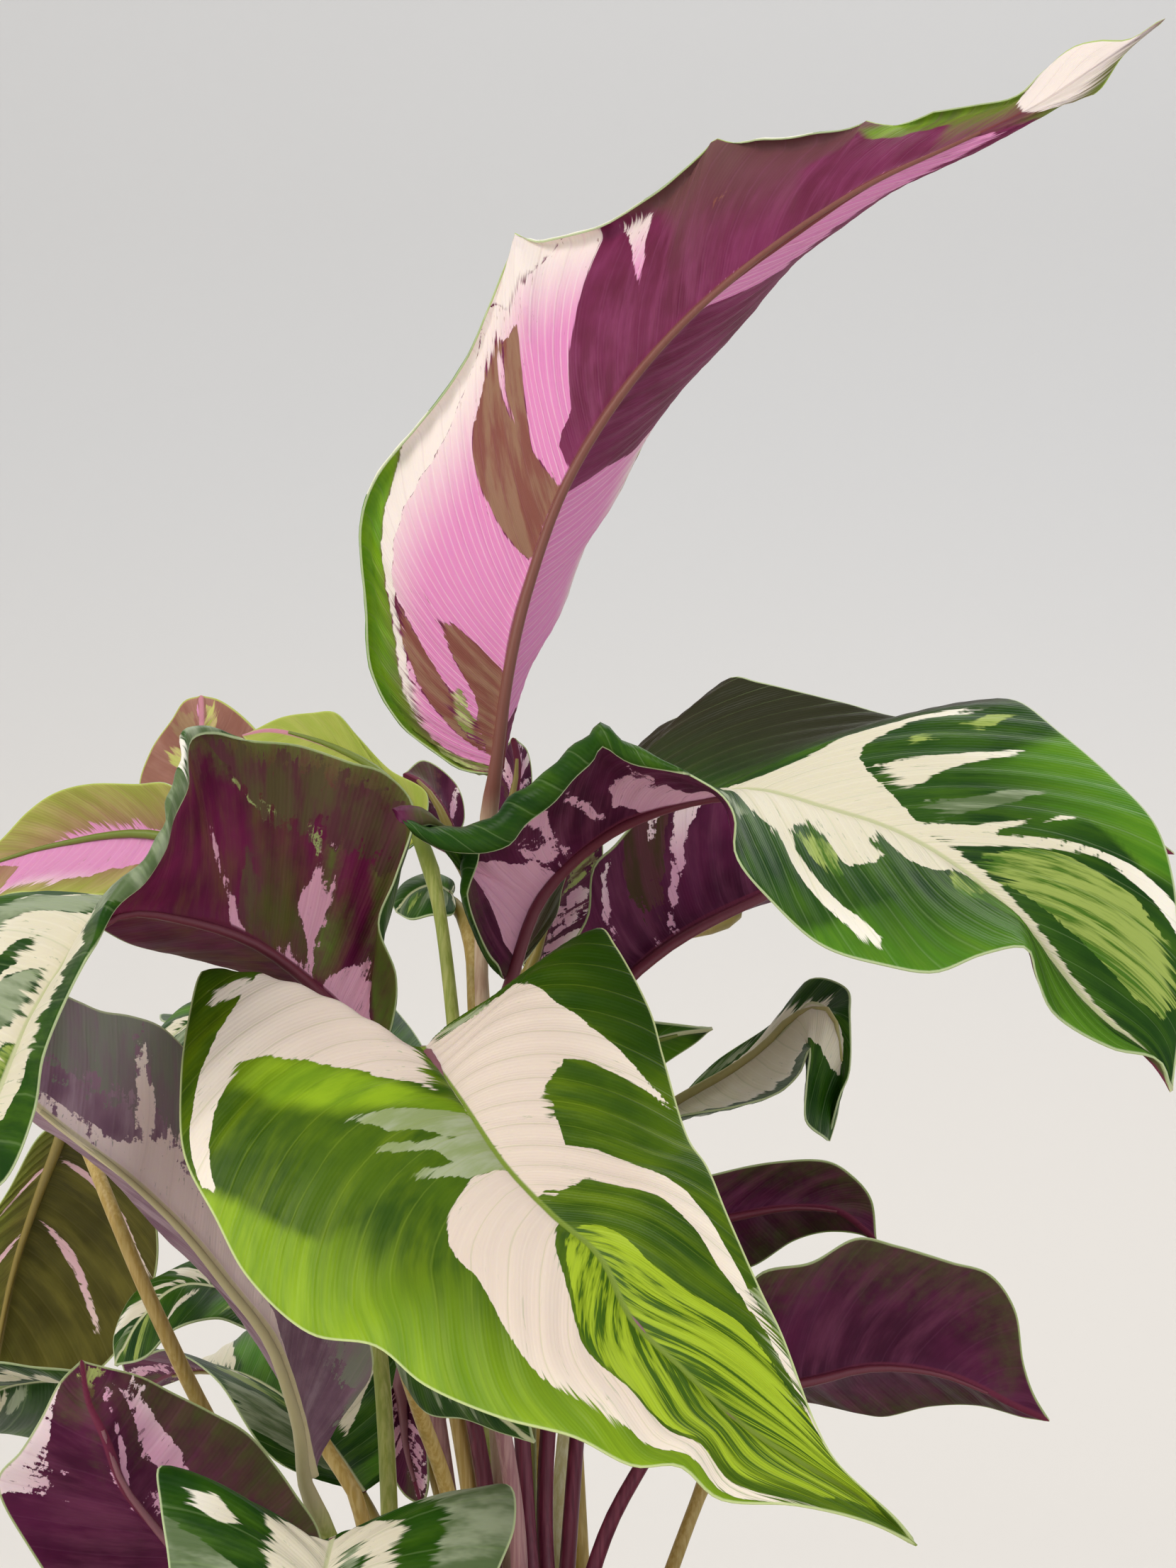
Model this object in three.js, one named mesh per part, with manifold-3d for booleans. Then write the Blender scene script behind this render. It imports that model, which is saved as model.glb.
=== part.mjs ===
// A potted white fusion calathea: a pot, its soil, and a node for each leaf with its own stem.
// Millimetres, Z up. The origin is the centre of the pot's base, and the front looks along +Y.
import * as THREE from "three";
import { mergeVertices } from "three/addons/utils/BufferGeometryUtils.js";
import Module from "manifold-3d";

// Pot and soil.
const POT_HEIGHT = 125;
const POT_TOP_RADIUS = 70;
const POT_BASE_RADIUS = 52;
const POT_WALL = 4.5;
const POT_FLOOR = 6;
const POT_EDGE = 1.5;
const RIM_HEIGHT = 16;
const RIM_STEP = 2.5;
const POT_SIDES = 44;
const SOIL_TOP = 112;
const SOIL_RISE = 2;
const SOIL_CLOD = 0.9;
const SOIL_RINGS = 5;
const SOIL_SIDES = 30;
const FIT_GAP = 0.3;

// Stems.
const STEM_FOOT_RADIUS = 1.9;
const STEM_TOP_RADIUS = 1.25;
const STEM_TIP_RADIUS = 0.7;
const STEM_SIDES = 6;
const STEM_STEP = 25;
const STEM_DEPTH = 16;
const STEM_RISE = 14;
const STEM_PLUMB = 5;
const STEM_INTO_RIB = 0.1;
const HOLE_CLEARANCE = 0.4;
const HOLE_SPACING = 4.4;
const GOLDEN_ANGLE = Math.PI * (3 - Math.sqrt(5));

// Blades.
const BLADE_THICKNESS = 0.7;
const RIB_FAN = 1.6;
const VEIN_SWEEP = 0.12;
const BLADE_BULGE = 0.1;
const LIP_TURN = 2.9;
const PLAIN_COLUMNS = 3;
const LIP_COLUMNS = 5;
const SMALL_COLUMNS = 2;
const SMALL_ROWS = 9;
const TANGENT_REACH = 0.01;

// Leaves that the rule below shapes: a heading round the pot, an arc and a width.
const SPRAY_STEPS = 7;
const SPRAY_FOLD = 22;
const SPRAY_WAVE = 0.14;
const SPRAY_WAVES = 1.7;
const SPRAY_PHASE = 0.2;
const SPRAY_LOBE = 0.1;

// Leaves placed by hand. rib, left and right are seen from above, base first, and run from the
// base to the tip. stem goes on down from the base, and hole is its place in the soil.
// lip is how far a margin rolls under, in mm, at shares of its length.
const LEAVES = {
  // Stands tallest: its underside faces the front and its upper margin rolls over.
  leaf_tall_upright: {
    colour: "#8c4a7c",
    rows: 22,
    hole: 5,
    lip: { right: [[0, 3], [0.1, 6], [0.3, 6], [0.42, 3], [0.5, 6], [0.85, 5], [0.9, 2], [1, 0]] },
    bulge: { left: -0.12, right: -0.1 },
    rib: [
      [-8, 22, 332], [-5, 22, 359], [-1, 24, 373], [5, 26, 389], [13, 28, 403], [24, 30, 417],
      [36, 32, 429], [52, 34, 441], [67, 36, 451], [82, 38, 458], [99, 38, 466],
      [113, 36, 475], [126, 34, 484],
    ],
    left: [
      [-7, 30, 339], [-5, 40, 353], [0, 46, 366], [6, 52, 373], [9, 56, 381], [13, 60, 390],
      [18, 62, 396], [25, 64, 409], [34, 64, 420], [44, 62, 429], [50, 60, 436], [58, 56, 444],
      [69, 52, 451], [79, 48, 457], [90, 44, 460], [101, 40, 465], [109, 38, 469],
      [113, 38, 470], [118, 36, 477],
    ],
    right: [
      [-14, 26, 333], [-20, 28, 337], [-26, 30, 342], [-32, 32, 353], [-33, 34, 366],
      [-34, 36, 383], [-31, 38, 392], [-23, 40, 402], [-17, 42, 410], [-12, 44, 419],
      [-7, 48, 436], [-5, 50, 443], [1, 50, 441], [10, 50, 442], [17, 50, 444], [23, 50, 448],
      [29, 50, 453], [36, 52, 463], [44, 52, 462], [54, 50, 461], [63, 50, 464], [67, 50, 466],
      [76, 48, 465], [90, 44, 467], [98, 42, 469], [102, 40, 474], [108, 38, 479],
      [113, 36, 480], [119, 35, 480],
    ],
    stem: [
      [-10, 22, 320], [-11, 20, 298], [-9, 12, 248], [-5, 4, 180],
    ],
  },
  // Behind the arching leaf, underside to the front.
  leaf_right_behind: {
    colour: "#6a2f5c",
    rows: 11,
    hole: 31,
    rib: [
      [14, 10, 290], [22, 14, 297], [32, 18, 303], [43, 22, 308], [60, 28, 315], [80, 34, 319],
      [103, 38, 321], [129, 40, 316],
    ],
    left: [
      [17, 18, 293], [24, 30, 295], [36, 42, 302], [48, 48, 306], [64, 52, 310], [86, 54, 314],
      [108, 50, 316], [122, 44, 316],
    ],
    right: [
      [11, 4, 293], [7, 4, 298], [10, 4, 305], [11, 6, 314], [15, 10, 318], [21, 16, 324],
      [34, 24, 329], [55, 30, 332], [80, 36, 332], [103, 38, 328], [121, 40, 322],
    ],
    stem: [
      [10, 8, 276], [5, 6, 235], [2, 4, 180],
    ],
  },
  // Rises, turns over and reaches far to the right, its upper face to the front.
  leaf_right_arching: {
    colour: "#3a6b34",
    rows: 22,
    hole: 23,
    lip: { right: [[0, 0], [0.12, 2], [0.2, 8], [0.3, 9], [0.42, 7], [0.47, 5], [0.52, 0], [1, 0]] },
    rib: [
      [-6, -5, 293], [-3, -7, 301], [-1, -9, 307], [3, -12, 313], [8, -16, 318],
      [12, -20, 321], [17, -25, 324], [26, -33, 327], [39, -42, 329], [51, -50, 326],
      [63, -56, 322], [73, -62, 316], [83, -68, 307], [94, -74, 293], [103, -78, 285],
      [107, -80, 279],
    ],
    left: [
      [-3, 2, 295], [1, 12, 300], [4, 16, 305], [5, 14, 310], [8, 10, 318], [13, 6, 328],
      [21, 2, 337], [24, 0, 341], [30, -4, 344], [37, -8, 350], [42, -12, 349], [57, -20, 345],
      [69, -26, 342], [82, -32, 345], [87, -34, 345], [94, -42, 339], [102, -50, 331],
      [108, -58, 323], [110, -64, 314], [110, -70, 302], [109, -76, 290],
    ],
    right: [
      [-7, -10, 296], [-9, -16, 299], [-13, -26, 310], [-13, -34, 320], [-17, -40, 323],
      [-22, -44, 327], [-25, -46, 326], [-19, -48, 323], [-8, -46, 324], [-4, -46, 328],
      [2, -48, 332], [6, -50, 336], [10, -52, 339], [12, -54, 341], [16, -54, 338],
      [25, -58, 333], [33, -64, 328], [35, -68, 324], [35, -70, 318], [41, -76, 310],
      [49, -80, 303], [59, -84, 300], [67, -86, 299], [75, -86, 302], [82, -86, 303],
      [84, -84, 298], [87, -82, 292], [97, -80, 286], [105, -80, 284],
    ],
    stem: [
      [-7, -4, 284], [-5, 0, 250], [-1, 0, 181],
    ],
  },
  // Reaches left with its underside in view and droops over its own tip.
  leaf_left_arching: {
    colour: "#5f2a45",
    rows: 19,
    hole: 41,
    lip: { left: [[0, 0], [0.34, 0], [0.42, 7], [0.55, 8], [0.68, 4], [0.76, 0], [1, 0]] },
    rib: [
      [-28, -20, 281], [-33, -24, 286], [-37, -28, 291], [-46, -34, 299], [-55, -40, 305],
      [-64, -46, 307], [-72, -54, 308], [-76, -60, 305], [-80, -66, 298], [-84, -70, 291],
      [-89, -74, 278], [-96, -74, 262],
    ],
    left: [
      [-26, -22, 286], [-25, -26, 295], [-28, -30, 305], [-25, -30, 313], [-22, -24, 326],
      [-27, -26, 332], [-33, -30, 334], [-42, -34, 337], [-51, -44, 338], [-56, -50, 340],
      [-60, -56, 340], [-60, -64, 334], [-61, -70, 329], [-61, -76, 323], [-64, -80, 317],
      [-69, -82, 311], [-72, -82, 303], [-76, -82, 295], [-80, -82, 285], [-82, -80, 275],
      [-88, -78, 263],
    ],
    right: [
      [-31, -14, 280], [-38, 0, 284], [-45, 2, 288], [-50, 0, 292], [-56, -8, 295],
      [-65, -16, 298], [-74, -26, 301], [-81, -34, 306], [-87, -40, 310], [-94, -46, 310],
      [-100, -52, 306], [-104, -62, 294], [-103, -70, 278],
    ],
    stem: [
      [-25, -16, 275], [-21, -8, 251], [-8, 0, 181],
    ],
  },
  // The broad front leaf, upper face to the front, pointing down to the right.
  leaf_front_spread: {
    colour: "#6f9a3a",
    rows: 19,
    hole: 28,
    bulge: { left: 0.1, right: 0.16 },
    rib: [
      [-19, -50, 284], [-12, -62, 276], [-4, -74, 266], [4, -84, 259], [12, -92, 253],
      [17, -98, 244], [25, -104, 237], [33, -108, 230], [43, -112, 224], [52, -114, 219],
      [61, -116, 212],
    ],
    left: [
      [-15, -48, 284], [-12, -44, 288], [-2, -38, 294], [6, -34, 300], [12, -34, 304],
      [15, -40, 301], [21, -50, 290], [23, -56, 283], [27, -70, 270], [30, -78, 266],
      [33, -86, 259], [38, -94, 248], [41, -98, 242], [46, -108, 229], [49, -112, 224],
      [58, -116, 216],
    ],
    right: [
      [-23, -46, 282], [-29, -42, 282], [-34, -40, 283], [-40, -38, 285], [-49, -38, 290],
      [-54, -40, 293], [-58, -44, 297], [-60, -52, 288], [-60, -62, 277], [-58, -72, 267],
      [-52, -80, 258], [-46, -86, 249], [-35, -94, 241], [-24, -100, 240], [-16, -106, 235],
      [-4, -112, 231], [8, -118, 229], [17, -120, 225], [24, -120, 225], [30, -120, 220],
      [42, -120, 219], [53, -118, 216],
    ],
    stem: [
      [-19, -34, 272], [-12, -14, 238], [-3, -4, 182],
    ],
  },
  // Leans left behind the broad leaf, underside to the front.
  leaf_left_middle: {
    colour: "#8a6f80",
    rows: 15,
    hole: 25,
    rib: [
      [-40, -30, 204], [-42, -36, 217], [-46, -42, 231], [-52, -46, 240], [-60, -50, 251],
      [-70, -52, 261], [-76, -54, 266], [-86, -54, 274], [-93, -52, 281], [-98, -48, 290],
    ],
    left: [
      [-39, -28, 208], [-33, -28, 218], [-29, -30, 224], [-32, -30, 236], [-40, -32, 250],
      [-47, -36, 267], [-56, -38, 277], [-61, -40, 282], [-66, -42, 287], [-71, -44, 289],
      [-76, -46, 290], [-80, -48, 292], [-88, -48, 295],
    ],
    right: [
      [-42, -26, 206], [-46, -22, 219], [-52, -22, 229], [-60, -24, 240], [-68, -26, 248],
      [-77, -30, 259], [-82, -34, 264], [-85, -38, 267], [-88, -44, 270], [-96, -46, 278],
    ],
    stem: [
      [-39, -28, 197], [-33, -20, 183], [-15, -10, 155],
    ],
  },
  // Low on the left, folded along its rib.
  leaf_left_lower: {
    colour: "#6a3358",
    rows: 11,
    hole: 20,
    rib: [
      [-53, -40, 175], [-58, -48, 187], [-63, -54, 198], [-70, -60, 209], [-73, -62, 218],
      [-76, -60, 223], [-78, -56, 230],
    ],
    left: [
      [-45, -34, 174], [-38, -34, 184], [-38, -38, 196], [-42, -42, 204], [-45, -44, 209],
      [-50, -48, 216], [-56, -50, 220], [-63, -52, 224], [-68, -54, 227], [-74, -56, 229],
    ],
    right: [
      [-62, -50, 178], [-77, -58, 186], [-86, -62, 199], [-91, -64, 211], [-87, -64, 216],
      [-84, -62, 221], [-81, -60, 227],
    ],
    stem: [
      [-45, -30, 160], [-26, -14, 138],
    ],
  },
  // Lowest at the front, upper face in view.
  leaf_front_lower: {
    colour: "#4f6f4a",
    rows: 13,
    hole: 36,
    rib: [
      [-32, -84, 206], [-33, -92, 201], [-34, -100, 194], [-35, -104, 184], [-37, -104, 173],
      [-39, -100, 163],
    ],
    left: [
      [-27, -80, 206], [-23, -78, 206], [-16, -76, 210], [-8, -76, 212], [-3, -78, 213],
      [-2, -84, 208], [-5, -92, 201], [-8, -100, 192], [-13, -106, 183], [-22, -108, 172],
      [-33, -104, 165],
    ],
    right: [
      [-37, -84, 203], [-42, -82, 204], [-47, -80, 207], [-52, -80, 212], [-58, -80, 216],
      [-61, -82, 217], [-60, -88, 212], [-58, -94, 205], [-56, -100, 195], [-53, -106, 185],
      [-47, -108, 174], [-42, -104, 166],
    ],
    stem: [
      [-31, -76, 201], [-26, -54, 183], [-15, -24, 149],
    ],
  },
  // Small, to the right behind the broad leaf.
  leaf_right_small: {
    colour: "#6b3a5c",
    rows: 9,
    hole: 3,
    rib: [
      [20, 15, 245], [34, 18, 245], [48, 20, 247], [59, 22, 246], [67, 22, 240],
    ],
    left: [
      [26, 24, 235], [34, 26, 232], [43, 28, 234], [51, 28, 239], [57, 26, 241], [63, 24, 241],
    ],
    right: [
      [24, 12, 251], [35, 14, 254], [46, 16, 256], [57, 18, 256], [62, 20, 253], [66, 22, 248],
    ],
    stem: [
      [13, 12, 234], [6, 6, 179],
    ],
  },
  // To the right and low, underside to the front.
  leaf_right_low: {
    colour: "#5d3050",
    rows: 11,
    hole: 13,
    rib: [
      [36, 0, 215], [51, 4, 216], [65, 8, 218], [81, 12, 215], [93, 14, 209], [100, 14, 206],
    ],
    left: [
      [42, 12, 209], [53, 22, 208], [64, 26, 205], [69, 28, 204], [78, 28, 206], [87, 24, 207],
      [96, 16, 206],
    ],
    right: [
      [37, -6, 226], [42, -10, 238], [52, -8, 240], [61, -4, 244], [69, 0, 242], [80, 6, 238],
      [88, 10, 235], [93, 12, 228], [95, 14, 217], [97, 14, 211],
    ],
    stem: [
      [26, 0, 208], [19, 0, 198], [13, 0, 186], [9, 0, 169],
    ],
  },
  // Curled over like a hook.
  leaf_right_curled: {
    colour: "#6f7f66",
    rows: 11,
    hole: 34,
    rib: [
      [20, 40, 259], [31, 38, 266], [42, 36, 273], [50, 34, 280], [55, 30, 286], [59, 24, 283],
      [60, 20, 275], [59, 18, 267], [57, 18, 260],
    ],
    left: [
      [28, 26, 264], [39, 16, 267], [47, 12, 270], [51, 10, 274], [53, 10, 279], [52, 6, 271],
      [52, 8, 265], [56, 14, 261],
    ],
    right: [
      [29, 44, 266], [36, 46, 273], [49, 46, 282], [55, 44, 290], [62, 34, 289], [62, 24, 284],
      [61, 16, 273], [59, 14, 269],
    ],
    stem: [
      [14, 36, 245], [5, 14, 177],
    ],
  },
  // Only its point shows beside the broad leaf.
  leaf_right_point: {
    colour: "#4f8a3a",
    rows: 6,
    hole: 11,
    rib: [
      [3, 10, 273], [14, 20, 277], [26, 30, 280], [35, 34, 281],
    ],
    left: [
      [6, 20, 267], [16, 30, 267], [26, 36, 274], [32, 36, 278],
    ],
    right: [
      [6, 6, 283], [14, 14, 285], [23, 24, 283], [28, 30, 282],
    ],
    stem: [
      [0, 10, 248], [-1, 10, 178],
    ],
  },
  // Shows as a strip under the broad leaf.
  leaf_front_under: {
    colour: "#4a5a48",
    rows: 8,
    hole: 7,
    rib: [
      [-26, -52, 240], [-19, -60, 235], [-13, -66, 230], [-6, -70, 224], [1, -72, 219],
    ],
    left: [
      [-22, -56, 243], [-13, -64, 241], [-6, -70, 235], [-1, -72, 227],
    ],
    right: [
      [-26, -48, 236], [-23, -50, 227], [-18, -56, 221], [-11, -62, 221], [-5, -68, 220],
    ],
    stem: [
      [-24, -36, 229], [-21, -20, 214], [-16, -8, 195], [-13, -2, 169],
    ],
  },
  // Hangs at the left from a stem that passes in front of it.
  leaf_left_hanging: {
    colour: "#6a6a34",
    rows: 9,
    hole: 35,
    rib: [
      [-92, 20, 264], [-100, 34, 248], [-107, 42, 230], [-111, 44, 212], [-114, 40, 200],
    ],
    left: [
      [-98, 24, 261], [-107, 36, 248], [-119, 46, 229], [-121, 48, 211], [-117, 44, 202],
    ],
    right: [
      [-84, 16, 262], [-77, 22, 250], [-77, 34, 231], [-88, 44, 212], [-104, 44, 201],
    ],
    stem: [
      [-85, -4, 261], [-78, -16, 250], [-73, -18, 239], [-68, -18, 228], [-62, -14, 214],
      [-47, -6, 184],
    ],
  },
  // Bowed, behind on the left.
  leaf_back_left: {
    colour: "#8f9a5a",
    rows: 12,
    hole: 38,
    rib: [
      [-68, 60, 316], [-84, 66, 319], [-100, 72, 317], [-116, 76, 313], [-128, 76, 307],
    ],
    left: [
      [-70, 58, 323], [-78, 62, 330], [-85, 66, 330], [-96, 70, 330], [-104, 74, 328],
      [-110, 76, 324], [-116, 78, 318], [-125, 78, 310],
    ],
    right: [
      [-70, 50, 309], [-84, 54, 307], [-98, 58, 307], [-111, 62, 307], [-124, 70, 302],
    ],
    stem: [
      [-61, 50, 303], [-51, 28, 274], [-33, 16, 234],
    ],
  },
  // Points up behind the left leaf.
  leaf_back_point: {
    colour: "#7a4a5c",
    rows: 9,
    hole: 14,
    rib: [
      [-63, 62, 313], [-67, 70, 326], [-72, 76, 338], [-73, 80, 349],
    ],
    left: [
      [-53, 58, 319], [-54, 66, 332], [-61, 72, 342], [-69, 78, 348],
    ],
    right: [
      [-75, 74, 316], [-87, 84, 328], [-85, 86, 337], [-80, 84, 344], [-77, 82, 348],
    ],
    stem: [
      [-53, 54, 302], [-41, 36, 281], [-26, 22, 240],
    ],
  },
  // Rounded, behind the left leaf.
  leaf_back_round: {
    colour: "#93a552",
    rows: 9,
    hole: 2,
    rib: [
      [-24, 40, 319], [-32, 50, 331], [-45, 60, 338], [-57, 66, 341], [-63, 68, 340],
    ],
    left: [
      [-23, 46, 328], [-31, 52, 333], [-38, 58, 340], [-43, 62, 345], [-48, 66, 345],
      [-55, 68, 344],
    ],
    right: [
      [-29, 40, 316], [-38, 42, 322], [-48, 50, 329], [-58, 60, 335],
    ],
    stem: [
      [-22, 40, 313], [-20, 38, 304], [-17, 34, 281], [-8, 12, 178],
    ],
  },
  // Far left, mostly behind the lower leaf.
  leaf_far_left: {
    colour: "#5a3048",
    rows: 8,
    hole: 22,
    rib: [
      [-79, -20, 216], [-86, -22, 220], [-95, -24, 220], [-106, -24, 215], [-115, -22, 206],
    ],
    left: [
      [-83, -8, 208], [-93, -4, 206], [-103, -4, 207], [-111, -10, 204],
    ],
    right: [
      [-81, -30, 223], [-90, -34, 225], [-98, -36, 226], [-106, -34, 220],
    ],
    stem: [
      [-69, -14, 204], [-45, -6, 170],
    ],
  },
  // Small and dark, between the left stems.
  leaf_left_shaded: {
    colour: "#4f3a44",
    rows: 8,
    hole: 17,
    rib: [
      [-52, 4, 229], [-61, 6, 233], [-69, 8, 233], [-76, 8, 227], [-81, 6, 218],
    ],
    left: [
      [-53, -2, 226], [-60, -6, 229], [-68, -6, 227], [-74, -2, 221],
    ],
    right: [
      [-57, 12, 234], [-65, 18, 237], [-73, 18, 234], [-79, 16, 230], [-82, 12, 223],
    ],
    stem: [
      [-40, -4, 205], [-34, -6, 196], [-32, -4, 188], [-16, -2, 153],
    ],
  },
  // Bowed, behind the broad leaf's left lobe.
  leaf_left_bowed: {
    colour: "#6a7f4a",
    rows: 8,
    hole: 10,
    rib: [
      [-41, 0, 283], [-48, 2, 286], [-58, 6, 286], [-68, 10, 283], [-75, 12, 276],
    ],
    left: [
      [-42, -8, 281], [-48, -14, 284], [-57, -16, 283], [-65, -12, 279],
    ],
    right: [
      [-45, 10, 287], [-52, 16, 289], [-60, 20, 287], [-68, 22, 287], [-74, 20, 282],
    ],
    stem: [
      [-35, 2, 268], [-18, 2, 222], [-8, 2, 168],
    ],
  },
  // Upright, behind the arching leaf's stem.
  leaf_centre_back: {
    colour: "#8a4a70",
    rows: 7,
    hole: 8,
    rib: [
      [-2, 45, 291], [2, 48, 303], [6, 50, 313], [11, 52, 324],
    ],
    left: [
      [2, 50, 293], [8, 54, 299], [12, 58, 307], [13, 58, 318],
    ],
    right: [
      [-5, 50, 297], [-5, 56, 306], [-2, 60, 316], [6, 58, 323],
    ],
    stem: [
      [-1, 42, 273], [2, 20, 176],
    ],
  },
  // Narrow, hanging among the stems.
  leaf_centre_hanging: {
    colour: "#b08a98",
    rows: 6,
    hole: 0,
    rib: [
      [-28, 34, 210], [-27, 36, 204], [-26, 36, 195], [-23, 32, 185],
    ],
    left: [
      [-30, 32, 208], [-31, 34, 201], [-30, 36, 192], [-27, 34, 187],
    ],
    right: [
      [-25, 32, 210], [-23, 32, 203], [-22, 32, 194], [-22, 32, 189],
    ],
    stem: [
      [-25, 32, 216], [-19, 30, 213], [-14, 26, 196], [-11, 22, 170],
    ],
  },
  // Small and curled, in the gap above the broad leaf.
  leaf_centre_curled: {
    colour: "#b9b79a",
    rows: 6,
    hole: 12,
    rib: [
      [-18, 56, 307], [-22, 58, 309], [-27, 60, 307], [-30, 60, 303],
    ],
    left: [
      [-18, 50, 303], [-22, 48, 303], [-26, 50, 302],
    ],
    right: [
      [-19, 64, 310], [-24, 68, 311], [-29, 68, 309], [-31, 64, 305],
    ],
    stem: [
      [-15, 52, 301], [-13, 40, 281], [-8, 20, 176],
    ],
  },
  // Young, at the centre.
  leaf_centre_young: {
    colour: "#8fa070",
    rows: 6,
    hole: 16,
    rib: [
      [-18, 62, 318], [-21, 64, 325], [-25, 66, 330], [-29, 68, 332],
    ],
    left: [
      [-16, 66, 323], [-18, 70, 330], [-25, 72, 335],
    ],
    right: [
      [-21, 66, 319], [-26, 70, 321], [-30, 72, 326],
    ],
    stem: [
      [-15, 68, 310], [-13, 66, 297], [-11, 56, 272], [-4, 26, 175],
    ],
  },
  // Young, still rolled, at the centre.
  leaf_centre_rolled: {
    colour: "#b7bd92",
    rows: 6,
    hole: 21,
    rib: [
      [-8, 70, 317], [-6, 72, 326], [-5, 74, 334], [-6, 74, 340],
    ],
    left: [
      [-4, 72, 322], [-2, 76, 329], [-3, 78, 337],
    ],
    right: [
      [-10, 74, 320], [-10, 78, 329], [-8, 78, 337],
    ],
    stem: [
      [-6, 68, 301], [-3, 44, 230], [1, 28, 174],
    ],
  },
};

// Leaves all round the sides and the back.
const SPRAYS = {
  leaf_rear_mid: {
    colour: "#4f7a35",
    hole: 6,
    base: [-4, 54, 214],
    heading: 97,
    climb: [42, -35],
    length: 118,
    halfWidth: 32,
    stem: [],
  },
  leaf_rear_left: {
    colour: "#44683a",
    hole: 40,
    base: [-38, 50, 250],
    heading: 118,
    climb: [45, -30],
    length: 105,
    halfWidth: 28,
    stem: [],
  },
  leaf_rear_right: {
    colour: "#5a8a3a",
    hole: 45,
    base: [40, 66, 303],
    heading: 75,
    climb: [30, -30],
    length: 85,
    halfWidth: 27,
    stem: [[24, 58, 297], [10, 48, 285]],
  },
  leaf_rear_low_left: {
    colour: "#3f6b3c",
    hole: 4,
    base: [-36, 46, 185],
    heading: 126,
    climb: [35, -30],
    length: 105,
    halfWidth: 29,
    stem: [],
  },
  leaf_rear_low_right: {
    colour: "#55804a",
    hole: 24,
    base: [38, 45, 200],
    heading: 45,
    climb: [35, -35],
    length: 85,
    halfWidth: 23,
    stem: [],
  },
  leaf_low_rear: {
    colour: "#4f7a35",
    hole: 19,
    base: [4, 34, 138],
    heading: 86,
    climb: [20, -40],
    length: 92,
    halfWidth: 29,
    stem: [],
  },
  leaf_low_right: {
    colour: "#44683a",
    hole: 37,
    base: [34, -6, 150],
    heading: -5,
    climb: [30, -45],
    length: 92,
    halfWidth: 25,
    stem: [],
  },
  leaf_low_front: {
    colour: "#5a8a3a",
    hole: 39,
    base: [24, -32, 141],
    heading: -58,
    climb: [12, -45],
    length: 88,
    halfWidth: 24,
    stem: [],
  },
  leaf_low_left: {
    colour: "#3f6b3c",
    hole: 33,
    base: [-38, -4, 138],
    heading: 188,
    climb: [8, -42],
    length: 88,
    halfWidth: 22,
    stem: [],
  },
  leaf_low_rear_right: {
    colour: "#55804a",
    hole: 42,
    base: [34, 16, 144],
    heading: 30,
    climb: [15, -40],
    length: 88,
    halfWidth: 25,
    stem: [],
  },
  leaf_low_rear_left: {
    colour: "#4f7a35",
    hole: 27,
    base: [-28, 30, 144],
    heading: 136,
    climb: [15, -40],
    length: 90,
    halfWidth: 24,
    stem: [],
  },
};

const wasm = await Module();
wasm.setup();

function vec(point) {
  return new THREE.Vector3(...point);
}

// A smooth curve through points, read by share of its length.
function smooth(points) {
  const curve = new THREE.CatmullRomCurve3(points.map(vec), false, "centripetal");
  curve.arcLengthDivisions = 400;
  return curve;
}

function tangentAt(curve, share) {
  const ahead = curve.getPointAt(Math.min(share + TANGENT_REACH, 1));
  return ahead.sub(curve.getPointAt(Math.max(share - TANGENT_REACH, 0))).normalize();
}

// The value at a share of the way along pairs of share and value.
function between(pairs, share) {
  for (let i = 1; i < pairs.length; i++) {
    const [from, low] = pairs[i - 1];
    const [to, high] = pairs[i];
    if (share <= to) {
      return low + ((high - low) * (share - from)) / (to - from);
    }
  }
  return pairs.at(-1)[1];
}

// A closed solid from corner points and triangles of their numbers.
function solidOf(corners, triangles) {
  const mesh = new wasm.Mesh({
    numProp: 3,
    vertProperties: new Float32Array(corners.flatMap((p) => [p.x, p.y, p.z])),
    triVerts: new Uint32Array(triangles.flat()),
  });
  return new wasm.Manifold(mesh);
}

// The rows of one half of a blade, each from the rib out to the margin.
function halfRows(leaf, side, rows, columns) {
  const rib = smooth(leaf.rib);
  const margin = smooth([leaf.rib[0], ...leaf[side], leaf.rib.at(-1)]);
  const lips = leaf.lip?.[side] ?? [[0, 0], [1, 0]];
  const bulge = leaf.bulge?.[side] ?? BLADE_BULGE;
  const grid = [];
  for (let i = 1; i < rows; i++) {
    const share = i / rows;
    const start = rib.getPointAt(share ** RIB_FAN);
    const along = tangentAt(rib, share ** RIB_FAN);
    const end = margin.getPointAt(share);
    const chord = end.clone().sub(start);
    const up = chord.clone().cross(along).normalize();
    if (side === "left") {
      up.negate();
    }
    const reach = chord.length();
    const middle = start.clone().add(end).multiplyScalar(0.5);
    middle.addScaledVector(up, bulge * reach).addScaledVector(along, -VEIN_SWEEP * reach);
    const outwards = end.clone().sub(middle).normalize();
    const lip = between(lips, share);
    const roll = lip / LIP_TURN;
    end.addScaledVector(outwards, -roll);
    const under = outwards.clone().cross(along).normalize();
    if (side === "right") {
      under.negate();
    }
    const width = end.distanceTo(start);
    const row = [];
    for (let j = 0; j <= columns; j++) {
      const out = ((width + lip) * j) / columns;
      const flat = new THREE.QuadraticBezierCurve3(start, middle, end);
      const point = flat.getPoint(Math.min(out / width, 1));
      if (roll > 0 && out > width) {
        const turn = (out - width) / roll;
        point.addScaledVector(outwards, roll * Math.sin(turn));
        point.addScaledVector(under, roll * (1 - Math.cos(turn)));
      }
      row.push(point);
    }
    grid.push(row);
  }
  return grid;
}

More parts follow.
